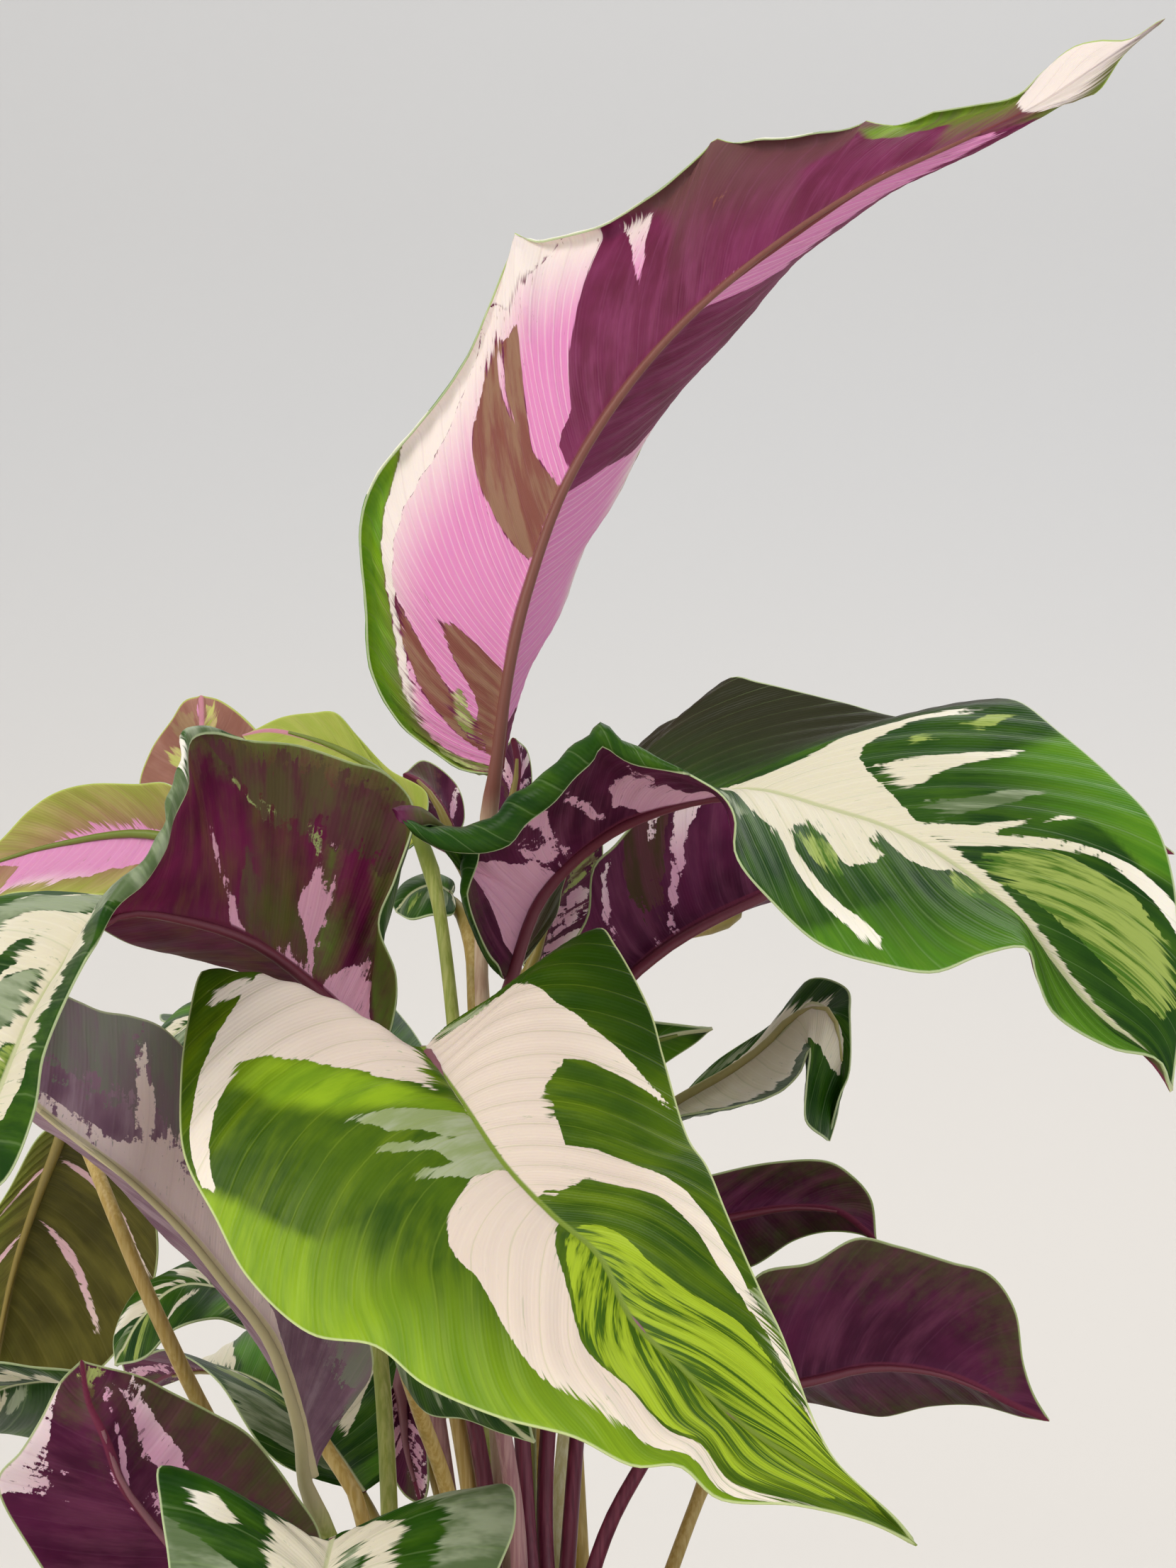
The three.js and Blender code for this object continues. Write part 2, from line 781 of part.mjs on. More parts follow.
// A blade as a thin solid, split into triangles alike on both faces.
function bladeSolid(leaf, rows, columns) {
  const left = halfRows(leaf, "left", rows, columns);
  const right = halfRows(leaf, "right", rows, columns);
  const across = 2 * columns + 1;
  const points = [vec(leaf.rib[0])];
  left.forEach((row, i) => points.push(...row.slice(1).reverse(), ...right[i]));
  points.push(vec(leaf.rib.at(-1)));
  const tip = points.length - 1;
  const at = (row, column) => 1 + row * across + column;
  const faces = [];
  for (let j = 0; j < across - 1; j++) {
    faces.push([0, at(0, j + 1), at(0, j)]);
    faces.push([tip, at(rows - 2, j), at(rows - 2, j + 1)]);
    for (let i = 0; i < rows - 2; i++) {
      faces.push([at(i, j), at(i, j + 1), at(i + 1, j + 1)]);
      faces.push([at(i, j), at(i + 1, j + 1), at(i + 1, j)]);
    }
  }
  const normals = points.map(() => new THREE.Vector3());
  for (const [a, b, c] of faces) {
    const first = points[b].clone().sub(points[a]);
    const facing = first.cross(points[c].clone().sub(points[a]));
    [a, b, c].forEach((k) => normals[k].add(facing));
  }
  normals.forEach((normal) => normal.normalize().multiplyScalar(BLADE_THICKNESS / 2));
  const outline = [0];
  for (let i = 0; i < rows - 1; i++) {
    outline.push(at(i, 0));
  }
  outline.push(tip);
  for (let i = rows - 2; i >= 0; i--) {
    outline.push(at(i, across - 1));
  }
  const lower = points.length;
  const corners = points.map((p, k) => p.clone().add(normals[k]));
  corners.push(...points.map((p, k) => p.clone().sub(normals[k])));
  const triangles = faces.map(([a, b, c]) => [a, b, c]);
  triangles.push(...faces.map(([a, b, c]) => [a + lower, c + lower, b + lower]));
  outline.forEach((a, k) => {
    const b = outline[(k + 1) % outline.length];
    triangles.push([a, b, b + lower], [a, b + lower, a + lower]);
  });
  return solidOf(corners, triangles);
}

// Where stem number k stands in the soil.
function holePlace(k) {
  const radius = HOLE_SPACING * Math.sqrt(k + 0.5);
  return [radius * Math.cos(k * GOLDEN_ANGLE), radius * Math.sin(k * GOLDEN_ANGLE)];
}

// The stem's course from inside the rib down to just over the soil.
function stemCourse(leaf) {
  const [x, y] = holePlace(leaf.hole);
  const rib = smooth(leaf.rib);
  const top = rib.getPointAt(STEM_INTO_RIB).toArray();
  const low = SOIL_TOP + STEM_RISE;
  const shown = leaf.stem.filter((p) => p[2] > low + 8);
  return [top, leaf.rib[0], ...shown, [x, y, low], [x, y, SOIL_TOP + STEM_PLUMB]];
}

// A round rod along a course, thinner at its upper end, that enters the soil straight down.
function stemSolid(leaf) {
  const curve = smooth(stemCourse(leaf));
  const steps = Math.max(6, Math.round(curve.getLength() / STEM_STEP));
  const intoRib = STEM_INTO_RIB * smooth(leaf.rib).getLength();
  const neck = intoRib / curve.getLength();
  const corners = [];
  const triangles = [];
  let side = new THREE.Vector3(1, 0, 0);
  for (let i = 0; i <= steps + 1; i++) {
    const share = Math.min(i / steps, 1);
    const centre = curve.getPointAt(share);
    const along = share < 1 ? tangentAt(curve, share) : new THREE.Vector3(0, 0, -1);
    if (i > steps) {
      centre.setZ(SOIL_TOP - STEM_DEPTH);
    }
    side = side.clone().addScaledVector(along, -side.dot(along)).normalize();
    const other = along.clone().cross(side);
    const radius = between(
      [[0, STEM_TIP_RADIUS], [neck, STEM_TOP_RADIUS], [1, STEM_FOOT_RADIUS]],
      share,
    );
    for (let j = 0; j < STEM_SIDES; j++) {
      const turn = (2 * Math.PI * j) / STEM_SIDES;
      const spoke = side.clone().multiplyScalar(radius * Math.cos(turn));
      spoke.addScaledVector(other, radius * Math.sin(turn));
      corners.push(centre.clone().add(spoke));
    }
  }
  for (let i = 0; i <= steps; i++) {
    for (let j = 0; j < STEM_SIDES; j++) {
      const a = i * STEM_SIDES + j;
      const b = i * STEM_SIDES + ((j + 1) % STEM_SIDES);
      triangles.push([a, b, b + STEM_SIDES], [a, b + STEM_SIDES, a + STEM_SIDES]);
    }
  }
  const last = (steps + 1) * STEM_SIDES;
  for (let j = 1; j < STEM_SIDES - 1; j++) {
    triangles.push([0, j + 1, j], [last, last + j, last + j + 1]);
  }
  return solidOf(corners, triangles);
}

// The rails of a leaf that follows the rule: it climbs, arches over and droops.
function sprayLeaf(spray) {
  const heading = THREE.MathUtils.degToRad(spray.heading);
  const fold = THREE.MathUtils.degToRad(SPRAY_FOLD);
  const across = new THREE.Vector3(Math.sin(heading), -Math.cos(heading), 0);
  const point = vec(spray.base);
  const rib = [point.toArray()];
  const left = [];
  const right = [];
  for (let i = 1; i <= SPRAY_STEPS; i++) {
    const share = i / SPRAY_STEPS;
    const reached = share - 0.5 / SPRAY_STEPS;
    const climb = THREE.MathUtils.degToRad(
      spray.climb[0] + (spray.climb[1] - spray.climb[0]) * reached,
    );
    const along = new THREE.Vector3(Math.cos(heading), Math.sin(heading), 0);
    along.multiplyScalar(Math.cos(climb)).setZ(Math.sin(climb));
    point.addScaledVector(along, spray.length / SPRAY_STEPS);
    rib.push(point.toArray());
    if (i === SPRAY_STEPS) {
      break;
    }
    const up = across.clone().cross(along);
    const width = spray.halfWidth * Math.sin(Math.PI * share ** 0.72) ** 0.8;
    const turn = 2 * Math.PI * (SPRAY_WAVES * share + SPRAY_PHASE);
    const wave = SPRAY_WAVE * spray.halfWidth * Math.sin(turn);
    const back = -spray.length * SPRAY_LOBE * (1 - share);
    for (const [rail, sign] of [[right, 1], [left, -1]]) {
      const edge = point.clone().addScaledVector(across, sign * width * Math.cos(fold));
      edge.addScaledVector(up, width * Math.sin(fold) + sign * wave);
      edge.addScaledVector(along, back);
      rail.push(edge.toArray());
    }
  }
  return { ...spray, rib, left, right };
}

// A leaf's blade and stem as one solid.
function leafSolid(leaf, rows, columns) {
  return bladeSolid(leaf, rows, columns).add(stemSolid(leaf));
}

// The pot, turned once round from half its section.
function potSolid() {
  const slope = (POT_TOP_RADIUS - RIM_STEP - POT_BASE_RADIUS) / POT_HEIGHT;
  const wallAt = (z) => POT_BASE_RADIUS + slope * z;
  const rimFoot = POT_HEIGHT - RIM_HEIGHT;
  const profile = [
    [0, 0],
    [POT_BASE_RADIUS - POT_EDGE, 0],
    [POT_BASE_RADIUS, POT_EDGE],
    [wallAt(rimFoot), rimFoot],
    [POT_TOP_RADIUS, rimFoot + POT_EDGE],
    [POT_TOP_RADIUS, POT_HEIGHT - POT_EDGE],
    [POT_TOP_RADIUS - POT_EDGE, POT_HEIGHT],
    [POT_TOP_RADIUS - POT_WALL, POT_HEIGHT],
    [wallAt(rimFoot) - POT_WALL, rimFoot - RIM_STEP],
    [wallAt(POT_FLOOR) - POT_WALL, POT_FLOOR],
    [0, POT_FLOOR],
  ].map(([r, z]) => new THREE.Vector2(r, z));
  const turned = new THREE.LatheGeometry(profile, POT_SIDES);
  turned.rotateX(Math.PI / 2);
  turned.deleteAttribute("normal");
  turned.deleteAttribute("uv");
  const merged = mergeVertices(turned, 1e-3);
  const index = Array.from(merged.index.array);
  const corners = [];
  const place = merged.attributes.position;
  for (let i = 0; i < place.count; i++) {
    corners.push(new THREE.Vector3().fromBufferAttribute(place, i));
  }
  const triangles = [];
  for (let i = 0; i < index.length; i += 3) {
    const [a, b, c] = index.slice(i, i + 3);
    if (a !== b && b !== c && a !== c) {
      triangles.push([a, b, c]);
    }
  }
  return solidOf(corners, triangles);
}

// The uneven height of the soil's top.
function soilHeight(x, y) {
  const far = Math.hypot(x, y) / POT_TOP_RADIUS;
  const clods = Math.sin(0.31 * x + 1.3) * Math.cos(0.37 * y + 0.4);
  const crumbs = Math.sin(0.83 * x - 0.52 * y) * 0.6;
  return SOIL_TOP + SOIL_RISE * (1 - far * far) + SOIL_CLOD * (clods + crumbs);
}

// The soil: a plug that fits the pot, with a plain hole for each stem.
function soilSolid(holes) {
  const slope = (POT_TOP_RADIUS - RIM_STEP - POT_BASE_RADIUS) / POT_HEIGHT;
  const radiusAt = (z) => POT_BASE_RADIUS + slope * z - POT_WALL - FIT_GAP;
  const shoulder = POT_HEIGHT - RIM_HEIGHT - RIM_STEP;
  const foot = POT_FLOOR + FIT_GAP;
  const corners = [new THREE.Vector3(0, 0, soilHeight(0, 0))];
  const triangles = [];
  const ring = (radius, heightAt) => {
    for (let j = 0; j < SOIL_SIDES; j++) {
      const turn = (2 * Math.PI * j) / SOIL_SIDES;
      const x = radius * Math.cos(turn);
      const y = radius * Math.sin(turn);
      corners.push(new THREE.Vector3(x, y, heightAt(x, y)));
    }
  };
  for (let i = 1; i <= SOIL_RINGS; i++) {
    ring((radiusAt(shoulder) * i) / SOIL_RINGS, soilHeight);
  }
  ring(radiusAt(shoulder), () => shoulder);
  ring(radiusAt(foot), () => foot);
  corners.push(new THREE.Vector3(0, 0, foot));
  for (let j = 0; j < SOIL_SIDES; j++) {
    const next = (j + 1) % SOIL_SIDES;
    triangles.push([0, 1 + j, 1 + next]);
    for (let i = 0; i < SOIL_RINGS + 1; i++) {
      const inner = 1 + i * SOIL_SIDES;
      const outer = inner + SOIL_SIDES;
      triangles.push([inner + j, outer + j, outer + next]);
      triangles.push([inner + j, outer + next, inner + next]);
    }
    const rim = 1 + (SOIL_RINGS + 1) * SOIL_SIDES;
    triangles.push([corners.length - 1, rim + next, rim + j]);
  }
  let soil = solidOf(corners, triangles);
  const depth = STEM_DEPTH + FIT_GAP;
  for (const hole of holes) {
    const [x, y] = holePlace(hole);
    const drill = wasm.Manifold.cylinder(
      depth + STEM_RISE,
      STEM_FOOT_RADIUS + HOLE_CLEARANCE,
      STEM_FOOT_RADIUS + HOLE_CLEARANCE,
      STEM_SIDES,
    ).translate([x, y, SOIL_TOP - depth]);
    soil = soil.subtract(drill);
  }
  return soil;
}

// A named mesh from a solid.
function node(name, solid, colour, roughness) {
  const { vertProperties, triVerts } = solid.getMesh();
  const geometry = new THREE.BufferGeometry();
  geometry.setAttribute("position", new THREE.BufferAttribute(vertProperties, 3));
  geometry.setIndex(new THREE.BufferAttribute(triVerts, 1));
  geometry.computeVertexNormals();
  const material = new THREE.MeshStandardMaterial({ color: colour, roughness, metalness: 0 });
  const mesh = new THREE.Mesh(geometry, material);
  mesh.name = name;
  return mesh;
}

const plant = new THREE.Group();
plant.name = "potted_white_fusion_calathea";
plant.add(node("pot", potSolid(), "#ece8e0", 0.5));
const holes = [...Object.values(LEAVES), ...Object.values(SPRAYS)].map((leaf) => leaf.hole);
plant.add(node("soil", soilSolid(holes), "#3a2b20", 0.95));
for (const [name, leaf] of Object.entries(LEAVES)) {
  const columns = leaf.lip ? LIP_COLUMNS : leaf.rows > SMALL_ROWS ? PLAIN_COLUMNS : SMALL_COLUMNS;
  plant.add(node(name, leafSolid(leaf, leaf.rows, columns), leaf.colour, 0.45));
}
for (const [name, spray] of Object.entries(SPRAYS)) {
  const leaf = sprayLeaf(spray);
  plant.add(node(name, leafSolid(leaf, SMALL_ROWS, SMALL_COLUMNS), leaf.colour, 0.45));
}

export default plant;
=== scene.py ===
"""A potted white fusion calathea: variegated leaves on their own stems, the soil and a plain pot.

The tables below are in millimetres and the scene's objects in metres. The origin is the centre
of the pot's base, Z is up, and the view from the front looks along +Y.
"""

import logging
import math
from dataclasses import dataclass, field
from enum import Enum
from typing import Any, NamedTuple

import bmesh
import bpy
import numpy as np
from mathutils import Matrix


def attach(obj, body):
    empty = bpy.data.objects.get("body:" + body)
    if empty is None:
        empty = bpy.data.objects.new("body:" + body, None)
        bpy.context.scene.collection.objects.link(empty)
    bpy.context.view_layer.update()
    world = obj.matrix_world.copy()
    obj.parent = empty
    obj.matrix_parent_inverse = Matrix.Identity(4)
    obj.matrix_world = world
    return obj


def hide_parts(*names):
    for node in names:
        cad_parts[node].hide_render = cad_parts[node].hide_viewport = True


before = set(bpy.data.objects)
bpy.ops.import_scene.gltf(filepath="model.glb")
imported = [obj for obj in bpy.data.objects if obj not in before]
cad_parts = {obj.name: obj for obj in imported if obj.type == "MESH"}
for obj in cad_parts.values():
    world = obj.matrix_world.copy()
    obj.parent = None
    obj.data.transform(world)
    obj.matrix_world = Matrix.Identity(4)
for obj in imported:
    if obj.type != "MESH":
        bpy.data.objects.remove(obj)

LOG = logging.getLogger("calathea")
MM = 0.001
BODY = "root"
GOLDEN_ANGLE = math.pi * (3 - math.sqrt(5))
HOLE_SPREAD = 4.4

Point = tuple[float, float, float]
Points = tuple[Point, ...]
Pairs = tuple[tuple[float, float], ...]


class Half(Enum):
    """The half of a blade, seen from above with the base towards the eye."""

    LEFT = -1
    RIGHT = 1


class Face(Enum):
    """The face of a blade."""

    UPPER = "upper"
    LOWER = "lower"


class Tone(Enum):
    """A tissue of the blade, or the painted shade where a blade lies in shadow. Each is an
    attribute of the mesh, apart from the plain ground.
    """

    CREAM = "cream"
    LIME = "lime"
    GREY = "grey"
    BRIGHT = "bright"
    IVORY = "ivory"
    PAINTED_SHADE = "painted_shade"
    PLAIN = "plain"


class Skin(Enum):
    """The finish of a face."""

    GREEN = "leaf_upper_epidermis"
    YOUNG = "leaf_upper_epidermis_young"
    PURPLE = "leaf_lower_epidermis"
    BACKLIT = "leaf_lower_epidermis_backlit"
    MOTTLED = "leaf_lower_epidermis_mottled"
    OLIVE = "leaf_lower_epidermis_olive"
    DUSK = "leaf_lower_epidermis_shaded"
    BLUSH = "leaf_lower_epidermis_blush"


class Petiole(Enum):
    """The finish of a stem."""

    WINE = "petiole_wine"
    TAN = "petiole_tan"
    GREEN = "petiole_green"
    PINK = "petiole_pink"
    PALE = "petiole_pale_sheath"
    RUST = "petiole_rust"
    SAGE = "petiole_sage"


class Patch(NamedTuple):
    """A marking that runs along the side veins of one half, or a patch of painted shade laid the
    same way.

    sections holds (out, start, end): at the share out from rib to margin, the marking lies
    between the shares start and end of the way from base to tip. teeth is how many times longer
    its fingers are along the veins than across them.
    """

    tone: Tone
    half: Half
    sections: Points
    face: Face | None = None
    teeth: float = 5.0


CREAM, LIME, GREY, BRIGHT, IVORY, PAINTED_SHADE, PLAIN = Tone
LEFT, RIGHT = Half
UPPER, LOWER = Face


def both(tone: Tone, sections: Points, face: Face | None = None) -> tuple[Patch, Patch]:
    """Gives a marking that both halves show alike."""
    return Patch(tone, LEFT, sections, face), Patch(tone, RIGHT, sections, face)


@dataclass(frozen=True)
class LeafShape:
    """The rails of a leaf: its rib, both margins and its stem, from the blade's base.

    lip is how far a margin rolls under, in millimetres, at shares of its length.
    """

    name: str
    hole: int
    rib: Points
    left: Points
    right: Points
    stem: Points
    lip: dict[Half, Pairs] = field(default_factory=dict)
    bulge: dict[Half, float] = field(default_factory=dict)


class Spray(NamedTuple):
    """A leaf that follows the rule of the low and rear leaves: it climbs, arches and droops."""

    name: str
    hole: int
    base: Point
    heading: float
    climb: tuple[float, float]
    length: float
    half_width: float
    stem: Points


@dataclass(frozen=True)
class LeafDress:
    """What a leaf shows: its finishes, its fineness and its markings."""

    petiole: Petiole = Petiole.TAN
    upper: Skin = Skin.GREEN
    lower: Skin = Skin.PURPLE
    rows: int = 64
    columns: int = 16
    vein_sweep: float = 0.06
    white_share: float = 0.35
    patches: tuple[Patch, ...] = ()


# The leaves given one by one, from the middle outwards.
LEAVES: tuple[LeafShape, ...] = (
    # Stands tallest: its underside faces the front and its upper margin rolls over.
    LeafShape(
        name="leaf_tall_upright", hole=5,
        rib=((-8, 22, 332), (-5, 22, 359), (-1, 24, 373), (5, 26, 389), (13, 28, 403),
            (24, 30, 417), (36, 32, 429), (52, 34, 441), (67, 36, 451), (82, 38, 458),
            (99, 38, 466), (113, 36, 475), (126, 34, 484)),
        left=((-7, 30, 339), (-5, 40, 353), (0, 46, 366), (6, 52, 373), (9, 56, 381), (13, 60, 390),
            (18, 62, 396), (25, 64, 409), (34, 64, 420), (44, 62, 429), (50, 60, 436),
            (58, 56, 444), (69, 52, 451), (79, 48, 457), (90, 44, 460), (101, 40, 465),
            (109, 38, 469), (113, 38, 470), (118, 36, 477)),
        right=((-14, 26, 333), (-20, 28, 337), (-26, 30, 342), (-32, 32, 353), (-33, 34, 366),
            (-34, 36, 383), (-31, 38, 392), (-23, 40, 402), (-17, 42, 410), (-12, 44, 419),
            (-7, 48, 436), (-5.5, 50, 441.5), (-5, 50, 443.5), (-3.6, 50, 442.8), (1, 50, 441),
            (10, 50, 442), (17, 50, 444), (23, 50, 448), (29, 50, 453), (35.2, 52, 462),
            (36, 52, 463.5), (37.6, 52, 463), (44, 52, 461.5), (54, 50, 461), (63, 50, 463.5),
            (66.2, 50, 465.6), (67, 50, 466.6), (68.5, 50, 466.2), (76, 48, 465), (90, 44, 467),
            (98, 42, 469), (102, 40, 474), (108, 38, 479), (113, 36, 480), (119, 35, 480)),
        stem=((-10, 22, 320), (-11, 20, 298), (-9, 12, 248), (-5, 4, 180)),
        lip={Half.RIGHT: ((0, 3), (0.1, 5), (0.3, 5), (0.4, 3), (0.455, 0), (0.475, 0), (0.51, 5),
            (0.56, 6), (0.61, 4), (0.645, 0), (0.662, 0), (0.69, 5), (0.73, 5), (0.765, 0),
            (0.785, 0), (0.82, 4), (0.88, 2), (0.91, 0), (1, 0))},
        bulge={Half.LEFT: -0.12, Half.RIGHT: -0.1},
    ),
    # Behind the arching leaf, underside to the front.
    LeafShape(
        name="leaf_right_behind", hole=31,
        rib=((14, 10, 290), (22, 14, 297), (32, 18, 303), (43, 22, 308), (60, 28, 315),
            (80, 34, 319), (103, 38, 321), (129, 40, 316)),
        left=((17, 18, 293), (24, 30, 295), (36, 42, 302), (48, 48, 306), (64, 52, 310),
            (86, 54, 314), (108, 50, 316), (122, 44, 316)),
        right=((11, 4, 293), (7, 4, 298), (10, 4, 305), (11, 6, 314), (15, 10, 318), (21, 16, 324),
            (34, 24, 329), (55, 30, 332), (80, 36, 332), (103, 38, 328), (121, 40, 322)),
        stem=((10, 8, 276), (5, 6, 235), (2, 4, 180)),
    ),
    # Rises, turns over and reaches far to the right, its upper face to the front.
    LeafShape(
        name="leaf_right_arching", hole=23,
        rib=((-6, -5, 293), (-3, -7, 301), (-1, -9, 307), (3, -12, 313), (8, -16, 318),
            (12, -20, 321), (17, -25, 324), (26, -33, 327), (39, -42, 329), (51, -50, 326),
            (63, -56, 322), (73, -62, 316), (83, -68, 307), (94, -74, 293), (103, -78, 285),
            (107, -80, 279)),
        left=((-3, 2, 295), (1, 12, 300), (4, 16, 305), (5, 14, 310), (8, 10, 318), (13, 6, 328),
            (21, 2, 337), (24, 0, 341), (30, -4, 344), (37, -8, 350), (42, -12, 349),
            (57, -20, 345), (69, -26, 342), (82, -32, 345), (87, -34, 345), (94, -42, 339),
            (102, -50, 331), (108, -58, 323), (110, -64, 314), (110, -70, 302), (109, -76, 290)),
        right=((-7, -10, 296), (-9, -16, 299), (-13, -26, 310), (-13, -34, 320), (-17, -40, 323),
            (-22, -44, 327), (-25, -46, 326), (-19, -48, 323), (-8, -46, 324), (-4, -46, 328),
            (2, -48, 332), (6, -50, 336), (10, -52, 339), (12, -54, 341), (16, -54, 338),
            (25, -58, 333), (33, -64, 328), (35, -68, 324), (35, -70, 318), (41, -76, 310),
            (49, -80, 303), (59, -84, 300), (67, -86, 299), (75, -86, 302), (82, -86, 303),
            (84, -84, 298), (87, -82, 292), (97, -80, 286), (105, -80, 284)),
        stem=((-7, -4, 284), (-5, 0, 250), (-1, 0, 181)),
        lip={Half.RIGHT: ((0, 0), (0.12, 2), (0.2, 8), (0.3, 9), (0.42, 7), (0.47, 5), (0.52, 0),
            (1, 0))},
    ),
    # Reaches left with its underside in view and droops over its own tip.
    LeafShape(
        name="leaf_left_arching", hole=41,
        rib=((-28, -20, 281), (-33, -24, 286), (-37, -28, 291), (-46, -34, 299), (-55, -40, 305),
            (-64, -46, 307), (-72, -54, 308), (-76, -60, 305), (-80, -66, 298), (-84, -70, 291),
            (-89, -74, 278), (-96, -74, 262)),
        left=((-26, -22, 286), (-25, -26, 295), (-28, -30, 305), (-25, -30, 313), (-22, -24, 326),
            (-27, -26, 332), (-33, -30, 334), (-42, -34, 337), (-51, -44, 338), (-56, -50, 340),
            (-60, -56, 340), (-60, -64, 334), (-61, -70, 329), (-61, -76, 323), (-64, -80, 317),
            (-69, -82, 311), (-72, -82, 303), (-76, -82, 295), (-80, -82, 285), (-82, -80, 275),
            (-88, -78, 263)),
        right=((-31, -14, 280), (-38, 0, 284), (-45, 2, 288), (-50, 0, 292), (-56, -8, 295),
            (-65, -16, 298), (-74, -26, 301), (-81, -34, 306), (-87, -40, 310), (-94, -46, 310),
            (-100, -52, 306), (-104, -62, 294), (-103, -70, 278)),
        stem=((-25, -16, 275), (-21, -8, 251), (-8, 0, 181)),
        lip={Half.LEFT: ((0, 0), (0.42, 0), (0.48, 3), (0.54, 8), (0.68, 4), (0.76, 0), (1, 0))},
    ),
    # The broad front leaf, upper face to the front, pointing down to the right.
    LeafShape(
        name="leaf_front_spread", hole=28,
        rib=((-19, -50, 284), (-12, -62, 276), (-4, -74, 266), (4, -84, 259), (12, -92, 253),
            (17, -98, 244), (25, -104, 237), (33, -108, 230), (43, -112, 224), (52, -114, 219),
            (61, -116, 212)),
        left=((-15, -48, 284), (-12, -44, 288), (-2, -38, 294), (6, -34, 300), (12, -34, 304),
            (15, -40, 301), (21, -50, 290), (23, -56, 283), (27, -70, 270), (30, -78, 266),
            (33, -86, 259), (38, -94, 248), (41, -98, 242), (46, -108, 229), (49, -112, 224),
            (58, -116, 216)),
        right=((-23, -46, 282), (-29, -42, 282), (-34, -40, 283), (-40, -38, 285), (-49, -38, 290),
            (-54, -40, 293), (-58, -44, 297), (-60, -52, 288), (-60, -62, 277), (-58, -72, 267),
            (-52, -80, 258), (-46, -86, 249), (-35, -94, 241), (-24, -100, 240), (-16, -106, 235),
            (-4, -112, 231), (8, -118, 229), (17, -120, 225), (24, -120, 225), (30, -120, 220),
            (42, -120, 219), (53, -118, 216)),
        stem=((-19, -34, 272), (-12, -14, 238), (-3, -4, 182)),
        bulge={Half.LEFT: 0.1, Half.RIGHT: 0.16},
    ),
    # Leans left behind the broad leaf, underside to the front.
    LeafShape(
        name="leaf_left_middle", hole=25,
        rib=((-40, -30, 204), (-42, -36, 217), (-46, -42, 231), (-52, -46, 240), (-60, -50, 251),
            (-70, -52, 261), (-76, -54, 266), (-86, -54, 274), (-93, -52, 281), (-98, -48, 290)),
        left=((-39, -28, 208), (-33, -28, 218), (-29, -30, 224), (-32, -30, 236), (-40, -32, 250),
            (-47, -36, 267), (-56, -38, 277), (-61, -40, 282), (-66, -42, 287), (-71, -44, 289),
            (-76, -46, 290), (-80, -48, 292), (-88, -48, 295)),
        right=((-42, -26, 206), (-46, -22, 219), (-52, -22, 229), (-60, -24, 240), (-68, -26, 248),
            (-77, -30, 259), (-82, -34, 264), (-85, -38, 267), (-88, -44, 270), (-96, -46, 278)),
        stem=((-39, -28, 197), (-33, -20, 183), (-15, -10, 155)),
    ),
    # Low on the left, folded along its rib.
    LeafShape(
        name="leaf_left_lower", hole=20,
        rib=((-53, -40, 175), (-58, -48, 187), (-63, -54, 198), (-70, -60, 209), (-73, -62, 218),
            (-76, -60, 223), (-78, -56, 230)),
        left=((-45, -34, 174), (-38, -34, 184), (-38, -38, 196), (-42, -42, 204), (-45, -44, 209),
            (-50, -48, 216), (-56, -50, 220), (-63, -52, 224), (-68, -54, 227), (-74, -56, 229)),
        right=((-62, -50, 178), (-77, -58, 186), (-86, -62, 199), (-91, -64, 211), (-87, -64, 216),
            (-84, -62, 221), (-81, -60, 227)),
        stem=((-45, -30, 160), (-26, -14, 138)),
    ),
    # Lowest at the front, upper face in view.
    LeafShape(
        name="leaf_front_lower", hole=36,
        rib=((-32, -84, 206), (-33, -92, 201), (-34, -100, 194), (-35, -104, 184), (-37, -104, 173),
            (-39, -100, 163)),
        left=((-27, -80, 206), (-23, -78, 206), (-16, -76, 210), (-8, -76, 212), (-3, -78, 213),
            (-2, -84, 208), (-5, -92, 201), (-8, -100, 192), (-13, -106, 183), (-22, -108, 172),
            (-33, -104, 165)),
        right=((-37, -84, 203), (-42, -82, 204), (-47, -80, 207), (-52, -80, 212), (-58, -80, 216),
            (-61, -82, 217), (-60, -88, 212), (-58, -94, 205), (-56, -100, 195), (-53, -106, 185),
            (-47, -108, 174), (-42, -104, 166)),
        stem=((-31, -76, 201), (-26, -54, 183), (-15, -24, 149)),
    ),
    # Small, to the right behind the broad leaf.
    LeafShape(
        name="leaf_right_small", hole=3,
        rib=((20, 15, 245), (34, 18, 245), (48, 20, 247), (59, 22, 246), (67, 22, 240)),
        left=((26, 24, 235), (34, 26, 232), (43, 28, 234), (51, 28, 239), (57, 26, 241),
            (63, 24, 241)),
        right=((24, 12, 251), (35, 14, 254), (46, 16, 256), (57, 18, 256), (62, 20, 253),
            (66, 22, 248)),
        stem=((13, 12, 234), (6, 6, 179)),
    ),
    # To the right and low, underside to the front.
    LeafShape(
        name="leaf_right_low", hole=13,
        rib=((36, 0, 215), (51, 4, 216), (65, 8, 218), (81, 12, 215), (93, 14, 209),
            (100, 14, 206)),
        left=((42, 12, 209), (53, 22, 208), (64, 26, 205), (69, 28, 204), (78, 28, 206),
            (87, 24, 207), (96, 16, 206)),
        right=((37, -6, 226), (42, -10, 238), (52, -8, 240), (61, -4, 244), (69, 0, 242),
            (80, 6, 238), (88, 10, 235), (93, 12, 228), (95, 14, 217), (97, 14, 211)),
        stem=((26, 0, 208), (19, 0, 198), (13, 0, 186), (9, 0, 169)),
    ),
    # Curled over like a hook.
    LeafShape(
        name="leaf_right_curled", hole=34,
        rib=((20, 40, 259), (31, 38, 266), (42, 36, 273), (50, 34, 280), (55, 30, 286),
            (59, 24, 283), (60, 20, 275), (59, 18, 267), (57, 18, 260)),
